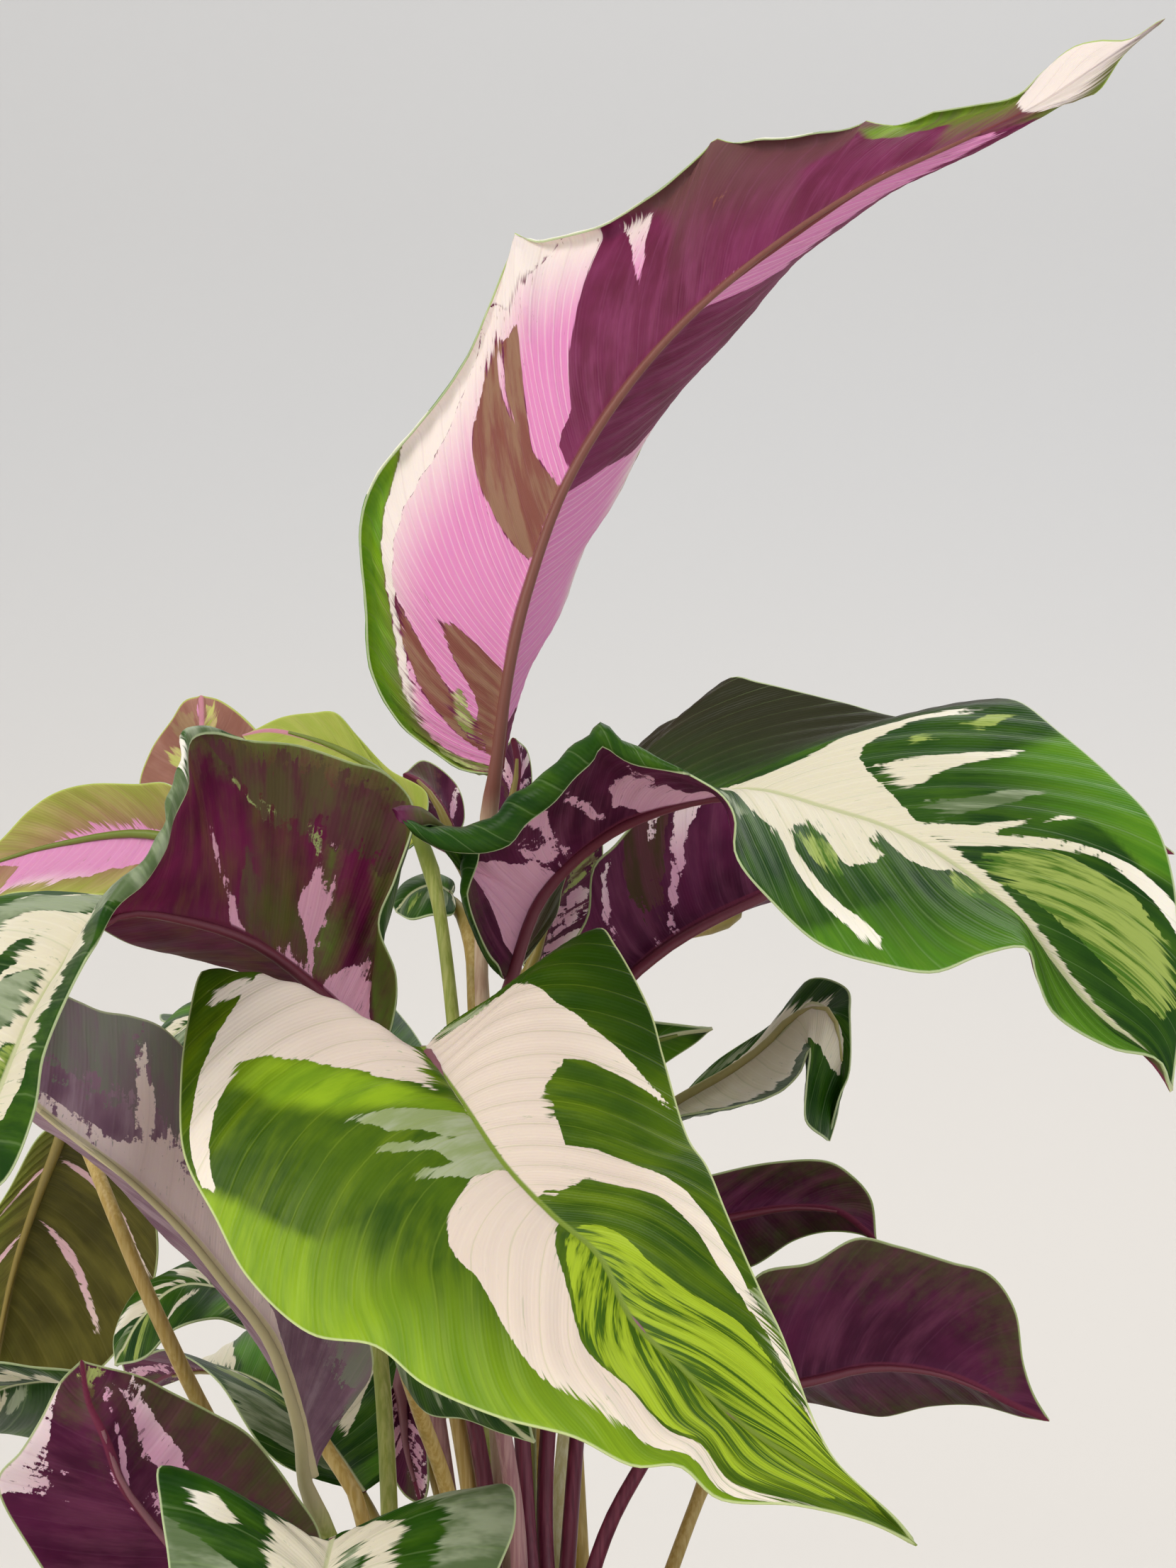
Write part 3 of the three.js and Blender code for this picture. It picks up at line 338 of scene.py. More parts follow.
        left=((28, 26, 264), (39, 16, 267), (47, 12, 270), (51, 10, 274), (53, 10, 279),
            (52, 6, 271), (52, 8, 265), (56, 14, 261)),
        right=((29, 44, 266), (36, 46, 273), (49, 46, 282), (55, 44, 290), (62, 34, 289),
            (62, 24, 284), (61, 16, 273), (59, 14, 269)),
        stem=((14, 36, 245), (5, 14, 177)),
    ),
    # Only its point shows beside the broad leaf.
    LeafShape(
        name="leaf_right_point", hole=11,
        rib=((3, 10, 273), (14, 20, 277), (26, 30, 280), (35, 34, 281)),
        left=((6, 20, 267), (16, 30, 267), (26, 36, 274), (32, 36, 278)),
        right=((6, 6, 283), (14, 14, 285), (23, 24, 283), (28, 30, 282)),
        stem=((0, 10, 248), (-1, 10, 178)),
    ),
    # Shows as a strip under the broad leaf.
    LeafShape(
        name="leaf_front_under", hole=7,
        rib=((-26, -52, 240), (-19, -60, 235), (-13, -66, 230), (-6, -70, 224), (1, -72, 219)),
        left=((-22, -56, 243), (-13, -64, 241), (-6, -70, 235), (-1, -72, 227)),
        right=((-26, -48, 236), (-23, -50, 227), (-18, -56, 221), (-11, -62, 221), (-5, -68, 220)),
        stem=((-24, -36, 229), (-21, -20, 214), (-16, -8, 195), (-13, -2, 169)),
    ),
    # Hangs at the left from a stem that passes in front of it.
    LeafShape(
        name="leaf_left_hanging", hole=35,
        rib=((-92, 20, 264), (-100, 34, 248), (-107, 42, 230), (-111, 44, 212), (-114, 40, 200)),
        left=((-98, 24, 261), (-107, 36, 248), (-119, 46, 229), (-121, 48, 211), (-117, 44, 202)),
        right=((-84, 16, 262), (-77, 22, 250), (-77, 34, 231), (-88, 44, 212), (-104, 44, 201)),
        stem=((-85, -4, 261), (-78, -16, 250), (-73, -18, 239), (-68, -18, 228), (-62, -14, 214),
            (-47, -6, 184)),
    ),
    # Bowed, behind on the left.
    LeafShape(
        name="leaf_back_left", hole=38,
        rib=((-68, 60, 316), (-84, 66, 319), (-100, 72, 317), (-116, 76, 313), (-128, 76, 307)),
        left=((-70, 58, 323), (-78, 62, 330), (-85, 66, 330), (-96, 70, 330), (-104, 74, 328),
            (-110, 76, 324), (-116, 78, 318), (-125, 78, 310)),
        right=((-70, 50, 309), (-84, 54, 307), (-98, 58, 307), (-111, 62, 307), (-124, 70, 302)),
        stem=((-61, 50, 303), (-51, 28, 274), (-33, 16, 234)),
    ),
    # Points up behind the left leaf.
    LeafShape(
        name="leaf_back_point", hole=14,
        rib=((-63, 62, 313), (-67, 70, 326), (-72, 76, 338), (-73, 80, 349)),
        left=((-53, 58, 319), (-54, 66, 332), (-61, 72, 342), (-69, 78, 348)),
        right=((-75, 74, 316), (-87, 84, 328), (-85, 86, 337), (-80, 84, 344), (-77, 82, 348)),
        stem=((-53, 54, 302), (-41, 36, 281), (-26, 22, 240)),
    ),
    # Rounded, behind the left leaf.
    LeafShape(
        name="leaf_back_round", hole=2,
        rib=((-24, 40, 319), (-32, 50, 331), (-45, 60, 338), (-57, 66, 341), (-63, 68, 340)),
        left=((-23, 46, 328), (-31, 52, 333), (-38, 58, 340), (-43, 62, 345), (-48, 66, 345),
            (-55, 68, 344)),
        right=((-29, 40, 316), (-38, 42, 322), (-48, 50, 329), (-58, 60, 335)),
        stem=((-22, 40, 313), (-20, 38, 304), (-17, 34, 281), (-8, 12, 178)),
    ),
    # Far left, mostly behind the lower leaf.
    LeafShape(
        name="leaf_far_left", hole=22,
        rib=((-79, -20, 216), (-86, -22, 220), (-95, -24, 220), (-106, -24, 215), (-115, -22, 206)),
        left=((-83, -8, 208), (-93, -4, 206), (-103, -4, 207), (-111, -10, 204)),
        right=((-81, -30, 223), (-90, -34, 225), (-98, -36, 226), (-106, -34, 220)),
        stem=((-69, -14, 204), (-45, -6, 170)),
    ),
    # Small and dark, between the left stems.
    LeafShape(
        name="leaf_left_shaded", hole=17,
        rib=((-52, 4, 229), (-61, 6, 233), (-69, 8, 233), (-76, 8, 227), (-81, 6, 218)),
        left=((-53, -2, 226), (-60, -6, 229), (-68, -6, 227), (-74, -2, 221)),
        right=((-57, 12, 234), (-65, 18, 237), (-73, 18, 234), (-79, 16, 230), (-82, 12, 223)),
        stem=((-40, -4, 205), (-34, -6, 196), (-32, -4, 188), (-16, -2, 153)),
    ),
    # Bowed, behind the broad leaf's left lobe.
    LeafShape(
        name="leaf_left_bowed", hole=10,
        rib=((-41, 0, 283), (-48, 2, 286), (-58, 6, 286), (-68, 10, 283), (-75, 12, 276)),
        left=((-42, -8, 281), (-48, -14, 284), (-57, -16, 283), (-65, -12, 279)),
        right=((-45, 10, 287), (-52, 16, 289), (-60, 20, 287), (-68, 22, 287), (-74, 20, 282)),
        stem=((-35, 2, 268), (-18, 2, 222), (-8, 2, 168)),
    ),
    # Upright, behind the arching leaf's stem.
    LeafShape(
        name="leaf_centre_back", hole=8,
        rib=((-2, 45, 291), (2, 48, 303), (6, 50, 313), (11, 52, 324)),
        left=((2, 50, 293), (8, 54, 299), (12, 58, 307), (13, 58, 318)),
        right=((-5, 50, 297), (-5, 56, 306), (-2, 60, 316), (6, 58, 323)),
        stem=((-1, 42, 273), (2, 20, 176)),
    ),
    # Narrow, hanging among the stems.
    LeafShape(
        name="leaf_centre_hanging", hole=0,
        rib=((-28, 34, 210), (-27, 36, 204), (-26, 36, 195), (-23, 32, 185)),
        left=((-30, 32, 208), (-31, 34, 201), (-30, 36, 192), (-27, 34, 187)),
        right=((-25, 32, 210), (-23, 32, 203), (-22, 32, 194), (-22, 32, 189)),
        stem=((-25, 32, 216), (-19, 30, 213), (-14, 26, 196), (-11, 22, 170)),
    ),
    # Small and curled, in the gap above the broad leaf.
    LeafShape(
        name="leaf_centre_curled", hole=12,
        rib=((-18, 56, 307), (-22, 58, 309), (-27, 60, 307), (-30, 60, 303)),
        left=((-18, 50, 303), (-22, 48, 303), (-26, 50, 302)),
        right=((-19, 64, 310), (-24, 68, 311), (-29, 68, 309), (-31, 64, 305)),
        stem=((-15, 52, 301), (-13, 40, 281), (-8, 20, 176)),
    ),
    # Young, at the centre.
    LeafShape(
        name="leaf_centre_young", hole=16,
        rib=((-18, 62, 318), (-21, 64, 325), (-25, 66, 330), (-29, 68, 332)),
        left=((-16, 66, 323), (-18, 70, 330), (-25, 72, 335)),
        right=((-21, 66, 319), (-26, 70, 321), (-30, 72, 326)),
        stem=((-15, 68, 310), (-13, 66, 297), (-11, 56, 272), (-4, 26, 175)),
    ),
    # Young, still rolled, at the centre.
    LeafShape(
        name="leaf_centre_rolled", hole=21,
        rib=((-8, 70, 317), (-6, 72, 326), (-5, 74, 334), (-6, 74, 340)),
        left=((-4, 72, 322), (-2, 76, 329), (-3, 78, 337)),
        right=((-10, 74, 320), (-10, 78, 329), (-8, 78, 337)),
        stem=((-6, 68, 301), (-3, 44, 230), (1, 28, 174)),
    ),
)

# The leaves all round the sides and the back.
# Each line holds its name, hole, base, heading, climb, length, half width and stem.
SPRAYS: tuple[Spray, ...] = (
    Spray("leaf_rear_mid", 6, (-4, 54, 214), 97, (42, -35), 118, 32, ()),
    Spray("leaf_rear_left", 40, (-38, 50, 250), 118, (45, -30), 105, 28, ()),
    Spray("leaf_rear_right", 45, (40, 66, 303), 75, (30, -30), 85, 27,
          ((24, 58, 297), (10, 48, 285))),
    Spray("leaf_rear_low_left", 4, (-36, 46, 185), 126, (35, -30), 105, 29, ()),
    Spray("leaf_rear_low_right", 24, (38, 45, 200), 45, (35, -35), 85, 23, ()),
    Spray("leaf_low_rear", 19, (4, 34, 138), 86, (20, -40), 92, 29, ()),
    Spray("leaf_low_right", 37, (34, -6, 150), -5, (30, -45), 92, 25, ()),
    Spray("leaf_low_front", 39, (24, -32, 141), -58, (12, -45), 88, 24, ()),
    Spray("leaf_low_left", 33, (-38, -4, 138), 188, (8, -42), 88, 22, ()),
    Spray("leaf_low_rear_right", 42, (34, 16, 144), 30, (15, -40), 88, 25, ()),
    Spray("leaf_low_rear_left", 27, (-28, 30, 144), 136, (15, -40), 90, 24, ()),
)

# What each leaf shows. Shares are read along the side veins: (out from the rib, start, end).
DRESSES: dict[str, LeafDress] = {
    "leaf_tall_upright": LeafDress(petiole=Petiole.RUST, lower=Skin.BACKLIT, rows=150, columns=52,
        vein_sweep=0.05, patches=(
        Patch(CREAM, RIGHT, ((0, 0.02, 0.46), (0.12, 0.02, 0.462), (0.16, 0.02, 0.492),
            (0.3, 0.03, 0.503), (0.5, 0.05, 0.517), (0.75, 0.12, 0.532), (1, 0.26, 0.545))),
        Patch(LIME, RIGHT, ((0.05, 0.0, 0.05), (0.4, 0.0, 0.065), (0.6, 0.0, 0.08),
            (0.85, 0.0, 0.06))),
        Patch(IVORY, RIGHT, ((0.6, 0.1, 0.14), (0.7, 0.1, 0.2), (0.8, 0.14, 0.32), (0.9, 0.2, 0.36),
            (1, 0.22, 0.4)), LOWER),
        Patch(BRIGHT, RIGHT, ((0.62, 0.07, 0.1), (0.72, 0.05, 0.16), (0.8, 0.03, 0.22),
            (0.88, 0.02, 0.27), (1, 0.01, 0.3))),
        Patch(GREY, RIGHT, ((0, 0.07, 0.225), (0.08, 0.08, 0.23), (0.16, 0.17, 0.235),
            (0.3, 0.2, 0.236), (0.38, 0.216, 0.23))),
        Patch(GREY, RIGHT, ((0.08, 0.075, 0.13), (0.25, 0.1, 0.148), (0.4, 0.122, 0.17),
            (0.55, 0.145, 0.19), (0.68, 0.17, 0.205))),
        Patch(LIME, RIGHT, ((0.16, 0.1, 0.14), (0.24, 0.11, 0.17), (0.3, 0.125, 0.165))),
        Patch(GREY, RIGHT, ((0, 0.362, 0.442), (0.1, 0.354, 0.437), (0.25, 0.348, 0.43),
            (0.5, 0.345, 0.45), (0.62, 0.348, 0.458), (0.7, 0.356, 0.46), (0.74, 0.365, 0.43),
            (0.82, 0.385, 0.42))),
        Patch(CREAM, RIGHT, ((0.45, 0.415, 0.42), (0.6, 0.41, 0.418), (0.73, 0.412, 0.428))),
        Patch(CREAM, RIGHT, ((0.46, 0.578, 0.581), (0.6, 0.573, 0.584), (0.75, 0.567, 0.582),
            (0.9, 0.555, 0.585))),
        Patch(IVORY, RIGHT, ((0.7, 0.64, 0.655), (0.86, 0.63, 0.67), (1, 0.62, 0.68)), LOWER,
            1.5),
        Patch(IVORY, RIGHT, ((0.8, 0.445, 0.48), (0.9, 0.43, 0.5), (1, 0.41, 0.52)), LOWER),
        Patch(GREY, RIGHT, ((0.55, 0.655, 0.662), (0.72, 0.674, 0.69), (0.86, 0.694, 0.715)),
            LOWER),
        Patch(BRIGHT, RIGHT, ((0.62, 0.84, 0.9), (0.76, 0.78, 0.9), (1, 0.75, 0.89)), LOWER),
        # Painted shade on the underside, towards the margin.
        Patch(PAINTED_SHADE, RIGHT, ((0.6, 0.62, 0.72), (0.8, 0.6, 0.76), (1, 0.56, 0.78)), LOWER),
        Patch(IVORY, RIGHT, ((0, 0.9, 1), (0.5, 0.89, 1), (1, 0.885, 1))),
        Patch(CREAM, RIGHT, ((0.7, 0.25, 1), (1, 0.25, 1)), UPPER),
        Patch(BRIGHT, RIGHT, ((0.93, 0.34, 0.47), (1, 0.32, 0.48)), UPPER),
        Patch(BRIGHT, RIGHT, ((0.92, 0.585, 0.65), (1, 0.58, 0.655)), UPPER),
        Patch(BRIGHT, RIGHT, ((0.86, 0.72, 0.77), (1, 0.73, 0.9)), UPPER),
        Patch(CREAM, LEFT, ((0, 0.14, 0.435), (0.3, 0.14, 0.45), (1, 0.12, 0.44))),
        Patch(CREAM, LEFT, ((0, 0.635, 0.86), (0.2, 0.645, 0.87), (0.5, 0.66, 0.86)), LOWER),
        Patch(IVORY, LEFT, ((0, 0.9, 1), (0.7, 0.89, 1))),
        Patch(LIME, LEFT, ((0.85, 0.3, 0.46), (1, 0.26, 0.5))),
        Patch(BRIGHT, LEFT, ((0.72, 0.88, 1), (1, 0.86, 1))),
    )),
    "leaf_right_arching": LeafDress(petiole=Petiole.WINE, rows=150, columns=52, vein_sweep=0.12,
        patches=(
        Patch(CREAM, LEFT, ((0, 0.56, 0.745), (0.1, 0.592, 0.735), (0.18, 0.602, 0.705),
            (0.24, 0.603, 0.675), (0.32, 0.604, 0.64), (0.4, 0.605, 0.632), (0.5, 0.61, 0.628),
            (0.65, 0.614, 0.626), (0.85, 0.63, 0.638))),
        Patch(CREAM, LEFT, ((0.28, 0.655, 0.7), (0.4, 0.666, 0.698), (0.55, 0.682, 0.695),
            (0.75, 0.69, 0.7), (0.87, 0.698, 0.703))),
        Patch(GREY, LEFT, ((0.22, 0.715, 0.745), (0.35, 0.732, 0.752), (0.5, 0.738, 0.752),
            (0.68, 0.744, 0.75))),
        Patch(CREAM, LEFT, ((0.05, 0.73, 0.765), (0.25, 0.765, 0.774), (0.5, 0.774, 0.779),
            (0.68, 0.78, 0.784))),
        Patch(CREAM, LEFT, ((0.08, 0.75, 0.775), (0.3, 0.782, 0.793), (0.5, 0.797, 0.807),
            (0.65, 0.811, 0.82), (0.8, 0.828, 0.845), (1, 0.86, 0.885))),
        Patch(LIME, LEFT, ((0.1, 0.79, 0.82), (0.2, 0.795, 0.86), (0.35, 0.8, 0.9),
            (0.5, 0.815, 0.93), (0.75, 0.855, 0.95), (0.9, 0.885, 0.94))),
        Patch(LIME, LEFT, ((0.5, 0.648, 0.655), (0.58, 0.643, 0.66))),
        Patch(LIME, LEFT, ((0.76, 0.648, 0.66), (0.85, 0.642, 0.655), (0.92, 0.645, 0.65))),
        Patch(BRIGHT, LEFT, ((0.7, 0.705, 0.78), (0.85, 0.69, 0.83), (1, 0.68, 0.84))),
        Patch(CREAM, LEFT, ((0, 0.7, 0.99), (0.07, 0.72, 0.985)), None, 1.2),
        # Painted shade: the far half, dark in the shadow of its own curve.
        Patch(PAINTED_SHADE, LEFT, ((0.3, 0.34, 0.57), (0.5, 0.3, 0.6), (0.8, 0.28, 0.62), (1, 0.28, 0.63)),
            UPPER),
        Patch(BRIGHT, RIGHT, ((0.35, 0.8, 0.93), (0.6, 0.75, 0.96), (1, 0.68, 0.98)), UPPER),
        Patch(CREAM, RIGHT, ((0, 0.5, 0.99), (0.07, 0.51, 0.985)), None, 1.2),
        Patch(CREAM, RIGHT, ((0, 0.5, 0.8), (0.12, 0.53, 0.79), (0.2, 0.56, 0.775),
            (0.3, 0.6, 0.75), (0.4, 0.62, 0.735), (0.46, 0.64, 0.7))),
        Patch(PLAIN, RIGHT, ((0.27, 0.664, 0.678), (0.33, 0.657, 0.693), (0.45, 0.66, 0.712),
            (0.6, 0.676, 0.73), (0.7, 0.69, 0.74))),
        Patch(LIME, RIGHT, ((0.3, 0.662, 0.69), (0.38, 0.662, 0.7), (0.46, 0.675, 0.705),
            (0.54, 0.695, 0.712))),
        Patch(PLAIN, RIGHT, ((0.13, 0.717, 0.732), (0.2, 0.722, 0.75), (0.28, 0.735, 0.772),
            (0.36, 0.73, 0.8), (0.5, 0.712, 0.86), (0.8, 0.7, 0.9))),
        Patch(GREY, RIGHT, ((0.42, 0.56, 0.62), (0.52, 0.56, 0.61))),
        Patch(CREAM, RIGHT, ((0.3, 0.635, 0.654), (0.5, 0.652, 0.668), (0.62, 0.667, 0.688),
            (0.75, 0.695, 0.722), (0.86, 0.722, 0.742))),
        Patch(LIME, RIGHT, ((0.12, 0.785, 0.82), (0.25, 0.79, 0.815), (0.35, 0.795, 0.805))),
        Patch(CREAM, RIGHT, ((0, 0.11, 0.3), (0.15, 0.13, 0.3), (0.3, 0.17, 0.285),
            (0.45, 0.205, 0.265), (0.55, 0.225, 0.25)), LOWER),
        Patch(CREAM, RIGHT, ((0.5, 0.235, 0.252), (0.75, 0.25, 0.262), (0.97, 0.262, 0.27)), LOWER),
        Patch(CREAM, RIGHT, ((0.04, 0.31, 0.342), (0.2, 0.306, 0.35), (0.4, 0.322, 0.362),
            (0.55, 0.337, 0.353)), LOWER),
        Patch(PLAIN, RIGHT, ((0.26, 0.318, 0.342), (0.5, 0.322, 0.346)), LOWER),
        Patch(CREAM, RIGHT, ((0, 0.47, 0.54), (0.12, 0.43, 0.54), (0.24, 0.435, 0.52),
            (0.4, 0.462, 0.5)), LOWER),
        Patch(CREAM, RIGHT, ((0.1, 0.4, 0.412), (0.38, 0.387, 0.396)), LOWER),
        Patch(BRIGHT, RIGHT, ((0.7, 0.04, 0.19), (1, 0.02, 0.25)), LOWER),
        Patch(BRIGHT, LEFT, ((0.3, 0.04, 0.22), (1, 0.02, 0.26)), LOWER),
        *both(BRIGHT, ((0, 0.93, 1), (1, 0.9, 1)), LOWER),
    )),
    "leaf_front_spread": LeafDress(petiole=Petiole.PINK, upper=Skin.YOUNG, rows=150, columns=52,
        vein_sweep=0.24, patches=(
        Patch(CREAM, LEFT, ((0, 0, 0.5), (0.15, 0.01, 0.515), (0.3, 0.02, 0.49), (0.38, 0.05, 0.4),
            (0.5, 0.18, 0.372), (0.6, 0.3, 0.39), (0.7, 0.36, 0.418), (0.85, 0.43, 0.457),
            (0.96, 0.485, 0.496))),
        # Painted shade: the upper flap of this half, dark where it lies in shadow.
        Patch(PAINTED_SHADE, LEFT, ((0.55, 0, 0.25), (0.7, 0, 0.36), (0.85, 0, 0.42), (1, 0, 0.44))),
        Patch(CREAM, LEFT, ((0.1, 0.42, 0.52), (0.3, 0.47, 0.53), (0.45, 0.5, 0.57),
            (0.6, 0.545, 0.6), (0.7, 0.577, 0.64), (0.8, 0.61, 0.71), (0.88, 0.67, 0.8),
            (0.95, 0.77, 0.89), (1, 0.85, 0.93))),
        Patch(PLAIN, LEFT, ((0.34, 0.39, 0.43), (0.45, 0.375, 0.485), (0.6, 0.415, 0.53),
            (0.75, 0.465, 0.56), (0.9, 0.52, 0.58))),
        # Painted shade: the white tissue at the upper left, greyed where it lies in shadow.
        Patch(GREY, LEFT, ((0.25, 0.03, 0.1), (0.4, 0.06, 0.17), (0.5, 0.1, 0.19))),
        Patch(LIME, LEFT, ((0.02, 0.57, 0.98), (0.15, 0.59, 0.97), (0.3, 0.66, 0.97),
            (0.5, 0.71, 0.96), (0.7, 0.75, 0.95), (0.85, 0.83, 0.93))),
        Patch(GREY, LEFT, ((0.93, 0.72, 0.84), (1, 0.72, 0.86))),
        Patch(CREAM, RIGHT, ((0.1, 0.1, 0.29), (0.3, 0.1, 0.3), (0.5, 0.1, 0.3), (0.7, 0.16, 0.3),
            (0.8, 0.235, 0.315), (0.87, 0.27, 0.345), (0.92, 0.3, 0.385), (0.96, 0.35, 0.42),
            (0.99, 0.41, 0.45))),
        Patch(CREAM, RIGHT, ((0.74, 0.205, 0.222), (0.9, 0.225, 0.24))),
        Patch(BRIGHT, RIGHT, ((0.04, 0.3, 0.325), (0.2, 0.305, 0.345), (0.45, 0.3, 0.365),
            (0.65, 0.295, 0.35), (0.78, 0.3, 0.32))),
        Patch(GREY, RIGHT, ((0.02, 0.32, 0.46), (0.12, 0.335, 0.455), (0.2, 0.345, 0.42),
            (0.34, 0.362, 0.385), (0.42, 0.37, 0.378))),
        Patch(PLAIN, RIGHT, ((0.14, 0.385, 0.4), (0.25, 0.385, 0.41), (0.36, 0.395, 0.43))),
        Patch(GREY, RIGHT, ((0.1, 0.38, 0.415), (0.25, 0.405, 0.42), (0.38, 0.412, 0.422))),
        Patch(GREY, RIGHT, ((0.05, 0.425, 0.47), (0.16, 0.435, 0.462), (0.3, 0.45, 0.462))),
        Patch(CREAM, RIGHT, ((0, 0.44, 0.55), (0.14, 0.46, 0.6), (0.25, 0.5, 0.66),
            (0.35, 0.53, 0.7), (0.45, 0.575, 0.745), (0.55, 0.635, 0.79), (0.65, 0.685, 0.825),
            (0.75, 0.74, 0.86), (0.85, 0.8, 0.893), (0.92, 0.86, 0.92), (0.97, 0.9, 0.94))),
        Patch(LIME, RIGHT, ((0.02, 0.575, 0.98), (0.12, 0.61, 0.97), (0.25, 0.665, 0.96),
            (0.4, 0.73, 0.95), (0.55, 0.8, 0.94), (0.65, 0.84, 0.93))),
        # Lighter green tissue at the lower-left margin, with a painted highlight on it.
        Patch(BRIGHT, RIGHT, ((0.72, 0.5, 0.76), (0.88, 0.44, 0.85), (1, 0.4, 0.9))),
    )),
    "leaf_left_arching": LeafDress(petiole=Petiole.WINE, lower=Skin.MOTTLED, rows=140, columns=48,
        vein_sweep=-0.04, patches=(
        Patch(CREAM, LEFT, ((0, 0.335, 0.415), (0.12, 0.335, 0.4), (0.25, 0.33, 0.383),
            (0.38, 0.322, 0.364), (0.54, 0.32, 0.342)), LOWER),
        Patch(BRIGHT, LEFT, ((0.46, 0.326, 0.336), (0.7, 0.32, 0.328), (0.85, 0.317, 0.322)),
            LOWER),
        Patch(CREAM, LEFT, ((0, 0.05, 0.31), (0.1, 0.09, 0.29), (0.2, 0.14, 0.255),
            (0.3, 0.17, 0.22)), LOWER),
        Patch(CREAM, LEFT, ((0.05, 0.205, 0.235), (0.25, 0.21, 0.222), (0.36, 0.205, 0.212)),
            LOWER),
        Patch(CREAM, LEFT, ((0.05, 0.14, 0.175), (0.25, 0.16, 0.17), (0.34, 0.163, 0.168)), LOWER),
        Patch(BRIGHT, LEFT, ((0.14, 0.29, 0.34), (0.28, 0.29, 0.33)), LOWER),
        Patch(BRIGHT, LEFT, ((0.5, 0.2, 0.25), (0.62, 0.19, 0.27), (0.7, 0.2, 0.24)), LOWER),
        Patch(BRIGHT, LEFT, ((0.1, 0.0, 0.1), (0.5, 0.0, 0.14), (1, 0.0, 0.17)), LOWER),
        Patch(GREY, LEFT, ((0.05, 0.42, 0.49), (0.3, 0.43, 0.47), (0.4, 0.44, 0.455)), LOWER),
        Patch(GREY, LEFT, ((0.66, 0.25, 0.42), (0.8, 0.22, 0.46), (0.93, 0.24, 0.5)), LOWER),
        Patch(LIME, LEFT, ((0.68, 0.4, 0.42), (0.71, 0.39, 0.45), (0.74, 0.42, 0.46)), LOWER),
        Patch(LIME, LEFT, ((0.6, 0.346, 0.35), (0.69, 0.34, 0.364)), LOWER),
        Patch(CREAM, LEFT, ((0.02, 0.475, 0.5), (0.1, 0.485, 0.498), (0.2, 0.495, 0.502)), LOWER),
        Patch(CREAM, LEFT, ((0.28, 0.503, 0.511), (0.42, 0.512, 0.519)), LOWER),
        Patch(BRIGHT, LEFT, ((0.93, 0.15, 0.6), (1, 0.1, 0.65)), LOWER),
        # Painted shade on the underside, in two patches.
        Patch(PAINTED_SHADE, LEFT, ((0.06, 0.34, 0.47), (0.2, 0.36, 0.45), (0.36, 0.38, 0.43)), LOWER),
        Patch(PAINTED_SHADE, LEFT, ((0.55, 0.08, 0.2), (0.8, 0.08, 0.22)), LOWER),
        Patch(CREAM, LEFT, ((0, 0.6, 0.95), (0.4, 0.62, 0.92), (0.6, 0.66, 0.86)), UPPER),
        Patch(GREY, LEFT, ((0.4, 0.5, 0.74), (0.8, 0.47, 0.72), (1, 0.46, 0.7)), UPPER),
        Patch(CREAM, LEFT, ((0.6, 0.53, 0.57), (0.8, 0.51, 0.56), (0.95, 0.51, 0.55)), UPPER),
        Patch(CREAM, RIGHT, ((0, 0.58, 0.965), (0.4, 0.6, 0.95), (0.7, 0.64, 0.9),
            (0.86, 0.7, 0.84)), UPPER),
        Patch(LIME, RIGHT, ((0, 0.86, 0.95), (0.1, 0.86, 0.94), (0.2, 0.87, 0.92)), UPPER),
        Patch(PLAIN, RIGHT, ((0.3, 0.735, 0.765), (0.45, 0.75, 0.79), (0.6, 0.77, 0.8)), UPPER),
        Patch(PLAIN, RIGHT, ((0.25, 0.86, 0.9), (0.5, 0.87, 0.95), (0.7, 0.85, 0.97)), UPPER),
        Patch(GREY, RIGHT, ((0.06, 0.6, 0.69), (0.5, 0.62, 0.7), (0.8, 0.66, 0.72)), UPPER),
        Patch(GREY, RIGHT, ((0.1, 0.77, 0.84), (0.5, 0.8, 0.86), (0.8, 0.82, 0.88)), UPPER),
        Patch(GREY, RIGHT, ((0.6, 0.68, 0.74), (1, 0.7, 0.76)), UPPER),
    )),
    "leaf_left_middle": LeafDress(petiole=Petiole.SAGE, lower=Skin.DUSK, rows=110, columns=36,
        vein_sweep=0.02, patches=(
        Patch(GREY, LEFT, ((0.45, 0.5, 0.98), (0.6, 0.45, 0.98), (1, 0.4, 0.98)), LOWER),
        Patch(CREAM, LEFT, ((0, 0.36, 0.96), (0.12, 0.42, 0.93), (0.22, 0.5, 0.77),
            (0.33, 0.56, 0.74), (0.42, 0.62, 0.73)), LOWER),
        Patch(PLAIN, LEFT, ((0.12, 0.8, 0.95), (0.2, 0.76, 0.94), (0.4, 0.73, 0.9)), LOWER),
        Patch(CREAM, LEFT, ((0.3, 0.72, 0.75), (0.6, 0.74, 0.76), (0.8, 0.755, 0.77)), LOWER),
        Patch(CREAM, LEFT, ((0.5, 0.4, 0.46), (0.6, 0.36, 0.44), (0.7, 0.34, 0.38)), LOWER),
        # Painted shade on the underside.
        Patch(PAINTED_SHADE, LEFT, ((0.4, 0.1, 0.42), (0.7, 0.06, 0.4)), LOWER),
        Patch(GREY, LEFT, ((0.6, 0.1, 0.3), (1, 0.06, 0.36)), LOWER),
    )),
    "leaf_right_behind": LeafDress(petiole=Petiole.WINE, rows=90, columns=30, vein_sweep=0.0,
        patches=(
        Patch(GREY, RIGHT, ((0.3, 0.25, 0.3), (0.6, 0.24, 0.325), (1, 0.25, 0.335))),
        Patch(CREAM, RIGHT, ((0.06, 0.282, 0.298), (0.25, 0.308, 0.328), (0.5, 0.33, 0.35),
            (0.75, 0.338, 0.36), (0.9, 0.342, 0.384), (1, 0.342, 0.396))),
